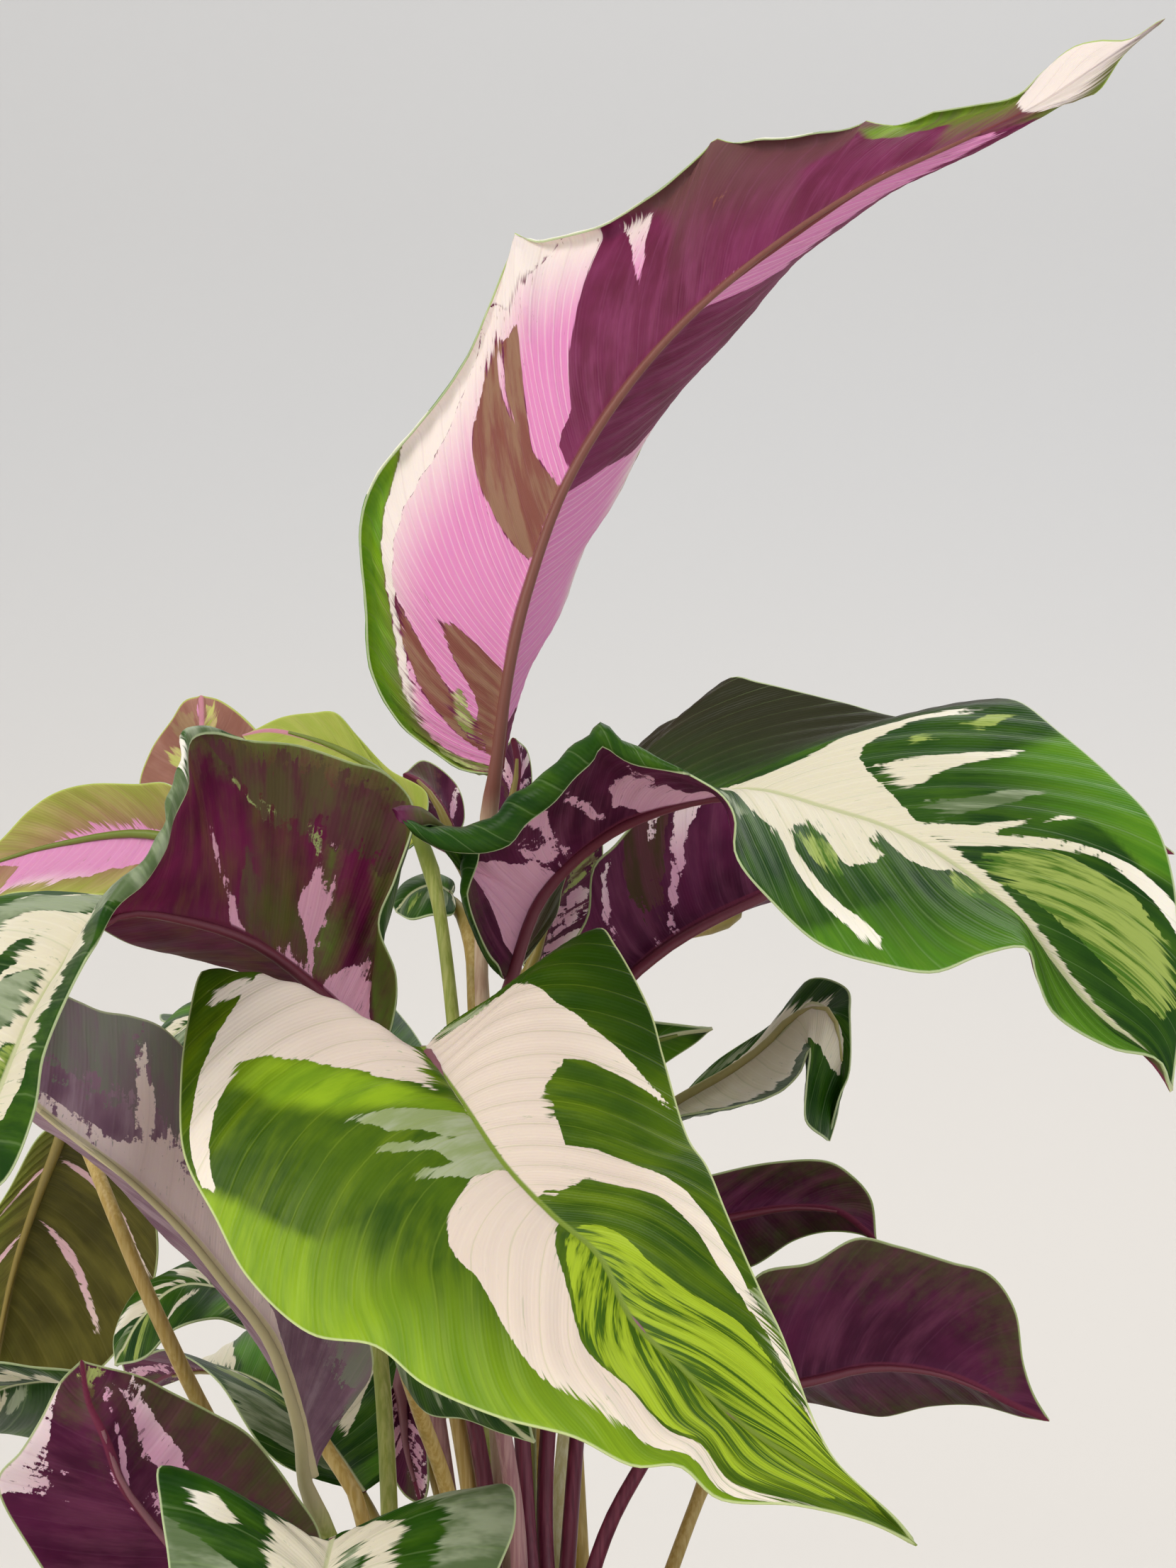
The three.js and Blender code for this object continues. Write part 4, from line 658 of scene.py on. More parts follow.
        Patch(CREAM, RIGHT, ((0.45, 0.168, 0.186), (0.6, 0.172, 0.195), (0.75, 0.19, 0.206),
            (0.92, 0.205, 0.22))),
        Patch(CREAM, RIGHT, ((0.9, 0.3, 0.31), (1, 0.3, 0.328))),
        Patch(CREAM, RIGHT, ((0.1, 0.56, 0.575), (0.9, 0.6, 0.63))),
        Patch(CREAM, LEFT, ((0, 0.24, 0.27), (0.9, 0.27, 0.31))),
    )),
    "leaf_right_small": LeafDress(petiole=Petiole.WINE, rows=80, columns=24, patches=(
        Patch(CREAM, RIGHT, ((0, 0.2, 0.36), (0.2, 0.24, 0.3), (0.4, 0.26, 0.28))),
        *both(BRIGHT, ((0.86, 0.1, 0.9), (1, 0.05, 0.95))),
    )),
    "leaf_right_low": LeafDress(petiole=Petiole.WINE, rows=90, columns=28, patches=(
        *both(BRIGHT, ((0.9, 0.1, 0.9), (1, 0.05, 0.95))),
    )),
    "leaf_left_lower": LeafDress(petiole=Petiole.PINK, rows=90, columns=30, vein_sweep=0.02,
        patches=(
        Patch(BRIGHT, LEFT, ((0.7, 0.55, 0.93), (0.85, 0.42, 0.92), (1, 0.36, 0.92))),
        Patch(CREAM, LEFT, ((0.16, 0.64, 0.71), (0.3, 0.66, 0.765), (0.45, 0.68, 0.82),
            (0.58, 0.72, 0.87), (0.7, 0.82, 0.93), (0.8, 0.87, 0.94))),
        Patch(PLAIN, LEFT, ((0.1, 0.6, 0.74), (0.22, 0.66, 0.82), (0.34, 0.74, 0.88),
            (0.5, 0.85, 0.93))),
        Patch(CREAM, LEFT, ((0.02, 0.75, 0.79), (0.15, 0.79, 0.84), (0.28, 0.86, 0.89),
            (0.42, 0.91, 0.94))),
        Patch(CREAM, RIGHT, ((0.72, 0.7, 0.76), (0.85, 0.7, 0.86), (1, 0.68, 0.97))),
        Patch(BRIGHT, RIGHT, ((0.1, 0.9, 0.97), (0.5, 0.88, 0.96))),
        Patch(LIME, LEFT, ((0, 0.93, 1), (0.6, 0.95, 1))),
        Patch(LIME, RIGHT, ((0, 0.95, 1), (0.6, 0.97, 1))),
    )),
    "leaf_front_lower": LeafDress(petiole=Petiole.GREEN, rows=90, columns=30, vein_sweep=0.02,
        patches=(
        Patch(GREY, RIGHT, ((0.42, 0.52, 0.95), (0.7, 0.47, 0.95), (1, 0.43, 0.95))),
        Patch(CREAM, RIGHT, ((0, 0.08, 0.9), (0.25, 0.14, 0.85), (0.36, 0.25, 0.7))),
        Patch(CREAM, RIGHT, ((0.52, 0.375, 0.392), (0.64, 0.355, 0.418), (0.8, 0.37, 0.395))),
        Patch(GREY, LEFT, ((0.62, 0.1, 0.95), (1, 0.1, 0.95))),
        Patch(CREAM, LEFT, ((0, 0.08, 0.9), (0.3, 0.14, 0.8), (0.4, 0.3, 0.7))),
        Patch(GREY, LEFT, ((0.08, 0.28, 0.38), (0.2, 0.3, 0.4))),
    )),
    "leaf_left_hanging": LeafDress(petiole=Petiole.TAN, lower=Skin.OLIVE, rows=80, columns=24,
        patches=(
        Patch(CREAM, RIGHT, ((0.05, 0.3, 0.32), (0.3, 0.33, 0.36), (0.6, 0.39, 0.42),
            (0.92, 0.47, 0.485))),
        Patch(CREAM, RIGHT, ((0.1, 0.55, 0.565), (0.4, 0.59, 0.62), (0.8, 0.67, 0.69))),
        Patch(CREAM, LEFT, ((0.05, 0.34, 0.36), (0.3, 0.37, 0.4), (0.6, 0.43, 0.46),
            (0.92, 0.51, 0.525))),
        Patch(CREAM, LEFT, ((0.1, 0.6, 0.615), (0.4, 0.64, 0.67), (0.8, 0.72, 0.74))),
        Patch(BRIGHT, LEFT, ((0.7, 0.1, 0.9), (1, 0.05, 0.95))),
    )),
    "leaf_right_point": LeafDress(petiole=Petiole.GREEN, lower=Skin.GREEN, patches=(
        Patch(BRIGHT, LEFT, ((0.2, 0.1, 0.9), (1, 0.1, 0.9))),
    )),
    "leaf_right_curled": LeafDress(petiole=Petiole.PALE, lower=Skin.GREEN, patches=(
        *both(CREAM, ((0, 0.1, 0.9), (0.3, 0.15, 0.85), (0.5, 0.3, 0.7), (0.75, 0.4, 0.6))),
        *both(GREY, ((0.6, 0.1, 0.3), (0.9, 0.1, 0.35))),
    )),
    "leaf_back_left": LeafDress(petiole=Petiole.GREEN, lower=Skin.BLUSH, patches=(
        Patch(BRIGHT, LEFT, ((0.6, 0.1, 0.9), (0.8, 0.04, 0.96), (1, 0, 1))),
        Patch(BRIGHT, RIGHT, ((0.7, 0.1, 0.9), (1, 0, 1))),
        Patch(CREAM, LEFT, ((0, 0.1, 0.9), (0.12, 0.2, 0.8), (0.2, 0.4, 0.7))),
        Patch(CREAM, RIGHT, ((0, 0.1, 0.9), (0.2, 0.2, 0.8), (0.5, 0.45, 0.8), (0.8, 0.6, 0.8))),
    )),
    "leaf_back_point": LeafDress(petiole=Petiole.PINK, lower=Skin.BLUSH, white_share=0.3),
    "leaf_back_round": LeafDress(petiole=Petiole.GREEN, lower=Skin.BLUSH, patches=(
        *both(BRIGHT, ((0, 0, 1), (1, 0, 1))),
    )),
    "leaf_centre_hanging": LeafDress(petiole=Petiole.PINK, white_share=0.7),
}


def unit(vectors: np.ndarray) -> np.ndarray:
    """Scales vectors to length one."""
    return vectors / np.maximum(np.linalg.norm(vectors, axis=-1, keepdims=True), 1e-9)


class Rail:
    """A smooth centripetal curve through points, read by share of its length."""

    STEPS = 24

    def __init__(self, points: Points | np.ndarray) -> None:
        """Samples the curve.

        Args:
            points: the points that it passes through, in millimetres.
        """
        p = np.asarray(points, float)
        before = np.vstack([2 * p[0] - p[1], p[:-2]]) if len(p) > 2 else 2 * p[:1] - p[1:2]
        after = np.vstack([p[2:], 2 * p[-1] - p[-2]]) if len(p) > 2 else 2 * p[1:2] - p[:1]
        here, there = p[:-1], p[1:]
        gap = [np.sqrt(np.linalg.norm(b - a, axis=1))[:, None]
               for a, b in ((before, here), (here, there), (there, after))]
        leave = ((here - before) / gap[0] - (there - before) / (gap[0] + gap[1])
                 + (there - here) / gap[1])
        arrive = ((there - here) / gap[1] - (after - here) / (gap[1] + gap[2])
                  + (after - there) / gap[2])
        leave, arrive = leave * gap[1], arrive * gap[1]
        s = np.linspace(0, 1, self.STEPS, endpoint=False)[:, None, None]
        curve = (here + leave * s + (-3 * here + 3 * there - 2 * leave - arrive) * s**2
                 + (2 * here - 2 * there + leave + arrive) * s**3)
        self.points = np.vstack([curve.transpose(1, 0, 2).reshape(-1, 3), p[-1:]])
        steps = np.linalg.norm(np.diff(self.points, axis=0), axis=1)
        reached = np.concatenate([[0.0], np.cumsum(steps)])
        self.length = float(reached[-1])
        self.shares = reached / self.length

    def at(self, share: np.ndarray) -> np.ndarray:
        """Gives the points at shares of the length."""
        return np.stack([np.interp(share, self.shares, self.points[:, k]) for k in range(3)], -1)

    def tangent(self, share: np.ndarray, reach: float = 0.01) -> np.ndarray:
        """Gives the directions at shares of the length."""
        return unit(self.at(np.minimum(share + reach, 1)) - self.at(np.maximum(share - reach, 0)))


def spray_shape(spray: Spray) -> LeafShape:
    """Works out the rails of a leaf from its rule.

    Args:
        spray: the rule's numbers.

    Returns:
        The leaf's rails.
    """
    steps, fold, wave, lobe = 7, math.radians(22), 0.14, 0.1
    heading = math.radians(spray.heading)
    across = np.array([math.sin(heading), -math.cos(heading), 0.0])
    point = np.array(spray.base, float)
    rib, left, right = [tuple(point)], [], []
    for i in range(1, steps + 1):
        share = i / steps
        rise = math.radians(spray.climb[0]
                            + (spray.climb[1] - spray.climb[0]) * (share - 0.5 / steps))
        along = np.array([math.cos(heading) * math.cos(rise), math.sin(heading) * math.cos(rise),
                          math.sin(rise)])
        point = point + along * spray.length / steps
        rib.append(tuple(point))
        if i == steps:
            break
        up = np.cross(across, along)
        width = spray.half_width * math.sin(math.pi * share**0.72) ** 0.8
        lift = wave * spray.half_width * math.sin(2 * math.pi * (1.7 * share + 0.2))
        back = -spray.length * lobe * (1 - share)
        for rail, sign in ((right, 1), (left, -1)):
            edge = point + across * (sign * width * math.cos(fold))
            edge = edge + up * (width * math.sin(fold) + sign * lift) + along * back
            rail.append(tuple(edge))
    return LeafShape(spray.name, spray.hole, tuple(rib), tuple(left), tuple(right), spray.stem)


def linear(hex_colour: str) -> tuple[float, float, float, float]:
    """Turns an sRGB hex value such as "#A0B1C2" into linear RGBA."""
    parts = [int(hex_colour[i : i + 2], 16) / 255 for i in (1, 3, 5)]
    return (*(p / 12.92 if p <= 0.04045 else ((p + 0.055) / 1.055) ** 2.4 for p in parts), 1.0)


def add_node(tree: bpy.types.NodeTree, kind: str, inputs: dict[int | str, Any] | None = None,
             **settings: Any) -> bpy.types.Node:
    """Adds a node with its settings and links.

    Args:
        tree: the tree that it goes into.
        kind: the node's type.
        inputs: for each input's number or name, another node's output to link or a plain value.
        settings: the node's own properties.

    Returns:
        The new node.
    """
    node = tree.nodes.new(kind)
    for key, value in settings.items():
        setattr(node, key, value)
    for key, value in (inputs or {}).items():
        if isinstance(value, bpy.types.NodeSocket):
            tree.links.new(value, node.inputs[key])
        else:
            node.inputs[key].default_value = value
    return node


@dataclass(frozen=True)
class Finish:
    """A finish with its own material. Subclasses build the node tree."""

    name: str
    roughness: float
    ior: float

    def material(self) -> bpy.types.Material:
        """Gives the material, built once.

        Returns:
            The finish's material.
        """
        made = bpy.data.materials.get(self.name)
        if made is None:
            made = bpy.data.materials.new(self.name)
            made.use_nodes = True
            shader = made.node_tree.nodes["Principled BSDF"]
            shader.inputs["Roughness"].default_value = self.roughness
            shader.inputs["IOR"].default_value = self.ior
            self.build(made.node_tree, shader)
        return made

    def build(self, tree: bpy.types.NodeTree, shader: bpy.types.Node) -> None:
        """Builds the finish's nodes round its shader."""
        raise NotImplementedError

    @staticmethod
    def mix(tree: bpy.types.NodeTree, share: Any, first: Any, second: Any) -> bpy.types.NodeSocket:
        """Mixes two colours, each a socket or a hex value, by a share."""
        pair = [linear(c) if isinstance(c, str) else c for c in (first, second)]
        return add_node(tree, "ShaderNodeMix", {0: share, 6: pair[0], 7: pair[1]},
                        data_type="RGBA").outputs[2]

    @staticmethod
    def step(tree: bpy.types.NodeTree, value: Any, low: float, high: float,
             start: float = 0.0, end: float = 1.0) -> bpy.types.NodeSocket:
        """Turns a value from low to high smoothly into start to end."""
        return add_node(tree, "ShaderNodeMapRange",
                        {0: value, 1: low, 2: high, 3: start, 4: end},
                        interpolation_type="SMOOTHSTEP").outputs[0]

    @staticmethod
    def maths(tree: bpy.types.NodeTree, operation: str, *values: Any) -> bpy.types.NodeSocket:
        """Works out one sum of sockets and numbers."""
        return add_node(tree, "ShaderNodeMath", dict(enumerate(values)),
                        operation=operation).outputs[0]

    @staticmethod
    def noise(tree: bpy.types.NodeTree, vector: Any, per_unit: Point, detail: float,
              roughness: float = 0.55) -> bpy.types.NodeSocket:
        """Reads a noise on a vector, stretched by its cycles for each unit of each axis."""
        scaled = add_node(tree, "ShaderNodeVectorMath", {0: vector, 1: per_unit},
                          operation="MULTIPLY").outputs[0]
        return add_node(tree, "ShaderNodeTexNoise",
                        {"Vector": scaled, "Scale": 1.0, "Detail": detail, "Roughness": roughness},
                        ).outputs[0]


@dataclass(frozen=True)
class LeafSkin(Finish):
    """The epidermis of a leaf: thin living tissue under a waxy cuticle.

    The eye sees a satin face, softly lit through, with side veins that lie like combed hair.
    Colours are drawn in the veins' own coordinates, so markings break into fingers along them.
    """

    dark: str = "#000000"
    mid: str = "#000000"
    light: str = "#000000"
    bright: str = "#000000"
    bright_shade: str = "#000000"
    # The deep colour is painted shade: it darkens a blade where it lies in shadow.
    painted_shade: str = "#000000"
    lime: str = "#000000"
    lime_shade: str = "#000000"
    grey: str = "#000000"
    grey_shade: str = "#000000"
    cream: str = "#000000"
    cream_by_rib: str = "#000000"
    rib: str = "#000000"
    edge: str = "#000000"
    vein: str = "#000000"
    gloss: float = 0.18
    glow: float = 0.25
    relief: float = 0.3
    web: float = 0.0
    vein_strength: float = 0.1
    pale_vein_strength: float = 0.15

    # Millimetres: how far fingers reach, and the spacing of side, lesser and fine veins.
    FINGER = 1.3
    VEIN_SPACING = 6.4
    LESSER_SPACING = 2.2
    FINE_SPACING = 0.8

    def build(self, tree: bpy.types.NodeTree, shader: bpy.types.Node) -> None:
        """Builds the markings, the painted shade, veins, rib, margin and relief."""
        mix, step, maths, noise = self.mix, self.step, self.maths, self.noise
        vein = add_node(tree, "ShaderNodeAttribute", attribute_name="vein").outputs["Vector"]
        place = add_node(tree, "ShaderNodeAttribute", attribute_name="place").outputs["Vector"]
        along, out, edge = add_node(tree, "ShaderNodeSeparateXYZ", {0: vein}).outputs
        _, share_out, _ = add_node(tree, "ShaderNodeSeparateXYZ", {0: place}).outputs
        solid = add_node(tree, "ShaderNodeTexCoord").outputs["Object"]

        broad = noise(tree, solid, (70.0, 70.0, 70.0), 3.0)
        combed = noise(tree, vein, (1 / self.FINE_SPACING, 1 / 14, 0.0), 3.0, 0.65)
        streak = noise(tree, vein, (0.2, 1 / 20, 0.0), 4.0, 0.6)
        finger = noise(tree, vein, (0.62, 1 / 22, 0.0), 3.0, 0.7)
        flame = noise(tree, vein, (0.3, 1 / 15, 0.0), 4.0, 0.72)
        tooth = noise(tree, vein, (2.6, 1 / 6, 0.0), 1.0)
        jag = maths(tree, "MULTIPLY_ADD", maths(tree, "SUBTRACT", finger, 0.5), 2 * self.FINGER,
                    maths(tree, "MULTIPLY", maths(tree, "SUBTRACT", tooth, 0.5), 0.5))
        if self.web:
            # Some undersides are laced: the dark eats a net into the pale tissue, 3 mm a mesh.
            net = noise(tree, solid, (330.0, 330.0, 330.0), 4.0, 0.7)
            jag = maths(tree, "MULTIPLY_ADD", maths(tree, "SUBTRACT", net, 0.5), 4 * self.web, jag)

        def zone(tone: Tone, blend: float = 0.16) -> bpy.types.NodeSocket:
            """Gives the share of a tissue, broken along the veins."""
            reach = add_node(tree, "ShaderNodeAttribute", attribute_name=tone.value).outputs["Fac"]
            return step(tree, maths(tree, "ADD", reach, jag), -blend, blend)

        ground = mix(tree, step(tree, broad, 0.3, 0.7), self.dark, self.mid)
        ground = mix(tree, step(tree, streak, 0.42, 0.72, 0.0, 0.7), ground, self.light)
        ground = mix(tree, step(tree, combed, 0.45, 0.8, 0.0, 0.12), ground, self.dark)
        bright = mix(tree, step(tree, streak, 0.35, 0.7), self.bright, self.bright_shade)
        colour = mix(tree, zone(BRIGHT, 2.4), ground, bright)
        # Painted shade: where a blade lies in shadow, it is darkened to its deep colour.
        colour = mix(tree, zone(PAINTED_SHADE, 4.0), colour, self.painted_shade)
        # The pale green tissue is licked by darker flames that start at the rib.
        lick = maths(tree, "MULTIPLY_ADD", share_out, -0.16, flame)
        lime = mix(tree, step(tree, lick, 0.36, 0.56), self.lime, self.light)
        lime = mix(tree, step(tree, lick, 0.47, 0.53), lime, self.lime_shade)
        colour = mix(tree, zone(LIME), colour, lime)
        grey = mix(tree, step(tree, streak, 0.4, 0.6), self.grey, self.grey_shade)
        colour = mix(tree, zone(GREY), colour, grey)
        pale = mix(tree, step(tree, share_out, 0.45, 0.95), self.cream_by_rib, self.cream)
        pale = mix(tree, step(tree, combed, 0.5, 0.8, 0.0, 0.35), pale, self.cream_by_rib)
        fleck = step(tree, noise(tree, vein, (0.9, 1 / 5, 0.0), 3.0, 0.75), 0.62, 0.66, 0.0, 0.6)
        wander = maths(tree, "MULTIPLY_ADD", streak, 1.5, along)
        lesser = maths(tree, "PINGPONG", wander, self.LESSER_SPACING / 2)
        pale = mix(tree, step(tree, lesser, 0.0, 0.3, self.pale_vein_strength, 0.0), pale,
                   self.cream)
        reach = add_node(tree, "ShaderNodeAttribute", attribute_name=CREAM.value).outputs["Fac"]
        fleck = maths(tree, "MULTIPLY", fleck, step(tree, reach, 0.5, 3.5, 1.0, 0.0))
        colour = mix(tree, zone(CREAM), colour, mix(tree, fleck, pale, self.grey))
        ivory = zone(IVORY, 0.4)
        colour = mix(tree, ivory, colour, self.cream)
        line = maths(tree, "PINGPONG", wander, self.VEIN_SPACING / 2)
        colour = mix(tree, step(tree, line, 0.05, 0.25, self.vein_strength, 0.0), colour, self.vein)
        ribbed = maths(tree, "MULTIPLY_ADD", ivory, -0.8, step(tree, out, 0.3, 0.8, 1.0, 0.0))
        colour = mix(tree, ribbed, colour, self.rib)
        colour = mix(tree, step(tree, edge, 0.2, 0.5, 0.9, 0.0), colour, self.edge)
        tree.links.new(colour, shader.inputs["Base Color"])

        fine = maths(tree, "PINGPONG", wander, self.FINE_SPACING / 2)
        height = maths(tree, "MULTIPLY_ADD", combed, 0.5, fine)
        height = maths(tree, "ADD", height, step(tree, line, 0.0, 0.6, -0.7, 0.0))
        bump = add_node(tree, "ShaderNodeBump",
                        {"Strength": self.relief, "Distance": 0.25 * MM, "Height": height})
        tree.links.new(bump.outputs[0], shader.inputs["Normal"])
        rough = step(tree, combed, 0.3, 0.8, self.roughness - 0.05, self.roughness + 0.1)
        tree.links.new(rough, shader.inputs["Roughness"])
        shader.inputs["Specular IOR Level"].default_value = self.gloss
        shader.inputs["Subsurface Weight"].default_value = self.glow
        shader.inputs["Subsurface Radius"].default_value = (0.8, 1.0, 0.4)
        shader.inputs["Subsurface Scale"].default_value = 1.2 * MM


@dataclass(frozen=True)
class StemSkin(Finish):
    """The skin of a petiole: smooth fibres lengthwise under a thin wax.

    The eye sees a soft sheen and fine lengthwise streaks, deeper where the sheath wraps it.
    """

    body: str = "#000000"
    streak: str = "#000000"
    neck: str = "#000000"

    def build(self, tree: bpy.types.NodeTree, shader: bpy.types.Node) -> None:
        """Builds the streaks and the neck under the blade."""
        place = add_node(tree, "ShaderNodeAttribute", attribute_name="place").outputs["Vector"]
        down, _, _ = add_node(tree, "ShaderNodeSeparateXYZ", {0: place}).outputs
        solid = add_node(tree, "ShaderNodeTexCoord").outputs["Object"]
        # Fibre streaks 0.7 mm across and about 30 mm long.
        fibre = self.noise(tree, solid, (1400.0, 1400.0, 35.0), 3.0)
        blotch = self.noise(tree, solid, (160.0, 160.0, 60.0), 2.0)
        colour = self.mix(tree, self.step(tree, fibre, 0.35, 0.7), self.body, self.streak)
        colour = self.mix(tree, self.step(tree, blotch, 0.5, 0.75, 0.0, 0.5), colour, self.neck)
        colour = self.mix(tree, self.step(tree, down, 2.0, 12.0, 0.95, 0.0), colour, self.neck)
        tree.links.new(colour, shader.inputs["Base Color"])
        bump = add_node(tree, "ShaderNodeBump",
                        {"Strength": 0.35, "Distance": 0.2 * MM, "Height": fibre})
        tree.links.new(bump.outputs[0], shader.inputs["Normal"])
        shader.inputs["Subsurface Weight"].default_value = 0.15
        shader.inputs["Subsurface Radius"].default_value = (1.0, 0.6, 0.3)
        shader.inputs["Subsurface Scale"].default_value = 1.5 * MM


@dataclass(frozen=True)
class Glaze(Finish):
    """White matt-glazed stoneware, thrown and fired.

    The eye sees a warm white with a soft sheen, faint throwing rings and scattered iron specks.
    """

    body: str = "#000000"
    shade: str = "#000000"
    speck: str = "#000000"

    def build(self, tree: bpy.types.NodeTree, shader: bpy.types.Node) -> None:
        """Builds the glaze's clouds, specks and rings."""
        solid = add_node(tree, "ShaderNodeTexCoord").outputs["Object"]
        cloud = self.noise(tree, solid, (25.0, 25.0, 25.0), 4.0)
        colour = self.mix(tree, self.step(tree, cloud, 0.35, 0.7), self.body, self.shade)
        # Iron specks 0.5 mm across, about one to each square centimetre.
        speck = add_node(tree, "ShaderNodeTexVoronoi", {"Vector": solid, "Scale": 260.0}).outputs[0]
        rare = self.noise(tree, solid, (150.0, 150.0, 150.0), 1.0)
        dots = self.maths(tree, "MULTIPLY", self.step(tree, speck, 0.06, 0.13, 1.0, 0.0),
                          self.step(tree, rare, 0.58, 0.62))
        colour = self.mix(tree, dots, colour, self.speck)
        tree.links.new(colour, shader.inputs["Base Color"])
        rings = self.noise(tree, solid, (6.0, 6.0, 260.0), 2.0)
        bump = add_node(tree, "ShaderNodeBump",
                        {"Strength": 0.3, "Distance": 0.3 * MM, "Height": rings})
        tree.links.new(bump.outputs[0], shader.inputs["Normal"])
        rough = self.step(tree, cloud, 0.3, 0.7, self.roughness - 0.06, self.roughness + 0.08)
        tree.links.new(rough, shader.inputs["Roughness"])


@dataclass(frozen=True)
class Grit(Finish):
    """Loose matter such as peat, bark and perlite: rough, dry and matt.

    The eye sees a broken surface with no sheen, each grain a little lighter or darker.
    """

    dark: str = "#000000"
    light: str = "#000000"
    grain: float = 1.0

    def build(self, tree: bpy.types.NodeTree, shader: bpy.types.Node) -> None:
        """Builds the grain; grain is its size in millimetres."""
        solid = add_node(tree, "ShaderNodeTexCoord").outputs["Object"]
        cycles = 1 / (self.grain * MM)
        fine = self.noise(tree, solid, (cycles, cycles, cycles), 4.0, 0.7)
        broad = self.noise(tree, solid, (cycles / 9, cycles / 9, cycles / 9), 2.0)
        mixed = self.maths(tree, "MULTIPLY_ADD", broad, 0.6,
                           self.maths(tree, "MULTIPLY", fine, 0.5))
        colour = self.mix(tree, self.step(tree, mixed, 0.35, 0.75), self.dark, self.light)
        tree.links.new(colour, shader.inputs["Base Color"])
        bump = add_node(tree, "ShaderNodeBump",
                        {"Strength": 0.9, "Distance": 0.5 * self.grain * MM, "Height": fine})
        tree.links.new(bump.outputs[0], shader.inputs["Normal"])


@dataclass(frozen=True)
class Paper(Finish):
    """The seamless studio paper that the plant stands on: dead matt, with painted shade that makes
    it a little darker high up.
    """

    low: str = "#000000"
    high: str = "#000000"

    def build(self, tree: bpy.types.NodeTree, shader: bpy.types.Node) -> None:
        """Builds the paper's painted shade: a slow darkening with height."""
        solid = add_node(tree, "ShaderNodeTexCoord").outputs["Object"]
        _, _, height = add_node(tree, "ShaderNodeSeparateXYZ", {0: solid}).outputs
        colour = self.mix(tree, self.step(tree, height, 0.0, 0.6), self.low, self.high)
        tree.links.new(colour, shader.inputs["Base Color"])


SKINS: dict[Skin, LeafSkin] = {
    Skin.GREEN: LeafSkin(
        Skin.GREEN.value, 0.4, 1.45,
        dark="#123806", mid="#264E08", light="#466C10", bright="#62921E", bright_shade="#447C14",
        painted_shade="#2C2D18", lime="#9CAE58", lime_shade="#48701C", grey="#98A486", grey_shade="#5C7048",
        cream="#F8F3E6", cream_by_rib="#DFD8C2", rib="#C6C9A0", edge="#B9C79A", vein="#8FA870",
        vein_strength=0.2,
    ),
    Skin.YOUNG: LeafSkin(
        Skin.YOUNG.value, 0.42, 1.45,
        dark="#2E4E06", mid="#4C6A08", light="#6E880C", bright="#93B41E", bright_shade="#6F9414",
        painted_shade="#244402", lime="#A6BE2C", lime_shade="#3E600A", grey="#A9B291", grey_shade="#93A26C",
        cream="#F4E9DA", cream_by_rib="#E3D3C6", rib="#7E9438", edge="#C9D69A", vein="#8FA63A",
        vein_strength=0.2,
    ),
    Skin.PURPLE: LeafSkin(
        Skin.PURPLE.value, 0.5, 1.42,
        dark="#420C2C", mid="#5C1A42", light="#743856", bright="#4E5428", bright_shade="#5A4636",
        painted_shade="#3E4A14", lime="#A3AE66", lime_shade="#6A5A3C", grey="#5C3238", grey_shade="#46341E",
        cream="#EDD8DE", cream_by_rib="#DCA8C4", rib="#6E2A42", edge="#A9B684", vein="#8C5272",
        glow=0.3, web=1.2,
    ),
    Skin.BACKLIT: LeafSkin(
        Skin.BACKLIT.value, 0.5, 1.42,
        dark="#66203E", mid="#7A2A54", light="#8C3E68", bright="#7DA41E", bright_shade="#5E8E1C",
        painted_shade="#6E4A48", lime="#BFC884", lime_shade="#8E9A4E", grey="#875046", grey_shade="#96705A",
        cream="#F1E4E0", cream_by_rib="#DF8CC0", rib="#7C4040", edge="#A7BE62", vein="#A8648C",
        glow=0.3, pale_vein_strength=0.4,
    ),
    Skin.MOTTLED: LeafSkin(
        Skin.MOTTLED.value, 0.5, 1.42,
        dark="#560E34", mid="#761E4C", light="#6E4A30", bright="#64842A", bright_shade="#6C6A38",
        painted_shade="#4E5C1A", lime="#A3B070", lime_shade="#7E8650", grey="#62363E", grey_shade="#5E5236",
        cream="#EBD2D4", cream_by_rib="#DFA6BE", rib="#631C36", edge="#A9B684", vein="#7E4A50",
        glow=0.3, web=0.9,
    ),
    Skin.OLIVE: LeafSkin(
        Skin.OLIVE.value, 0.5, 1.42,
        dark="#444014", mid="#5C5820", light="#746E2C", bright="#8C9A3C", bright_shade="#747C30",
        painted_shade="#3C3A12", lime="#B0BA56", lime_shade="#7E8238", grey="#7A6A4A", grey_shade="#6A5A3A",
        cream="#EAD8CE", cream_by_rib="#E4BCC8", rib="#8A7A4A", edge="#B7C08C", vein="#8C8450",
        glow=0.3,
    ),
    Skin.DUSK: LeafSkin(
        Skin.DUSK.value, 0.5, 1.42,
        dark="#7E5C70", mid="#987888", light="#B8A0AA", bright="#7E8460", bright_shade="#6E7256",
        painted_shade="#5E3E52", lime="#A0A874", lime_shade="#7C7448", grey="#86887A", grey_shade="#8A7A7E",
        cream="#FBEDE4", cream_by_rib="#F6E0DC", rib="#D8CCA4", edge="#BFC8A0", vein="#B8A4AA",
        glow=0.3, web=1.2,
    ),
    Skin.BLUSH: LeafSkin(
        Skin.BLUSH.value, 0.5, 1.42,
        dark="#8A5A4E", mid="#A37264", light="#B98C7E", bright="#A3B04A", bright_shade="#B4B85E",
        painted_shade="#7A4A50", lime="#CBCB78", lime_shade="#A9AE56", grey="#9A7A5E", grey_shade="#A88A6A",
        cream="#EED2DC", cream_by_rib="#DC94C2", rib="#C98A9A", edge="#B9C46A", vein="#C49A90",
        glow=0.35,
    ),
}
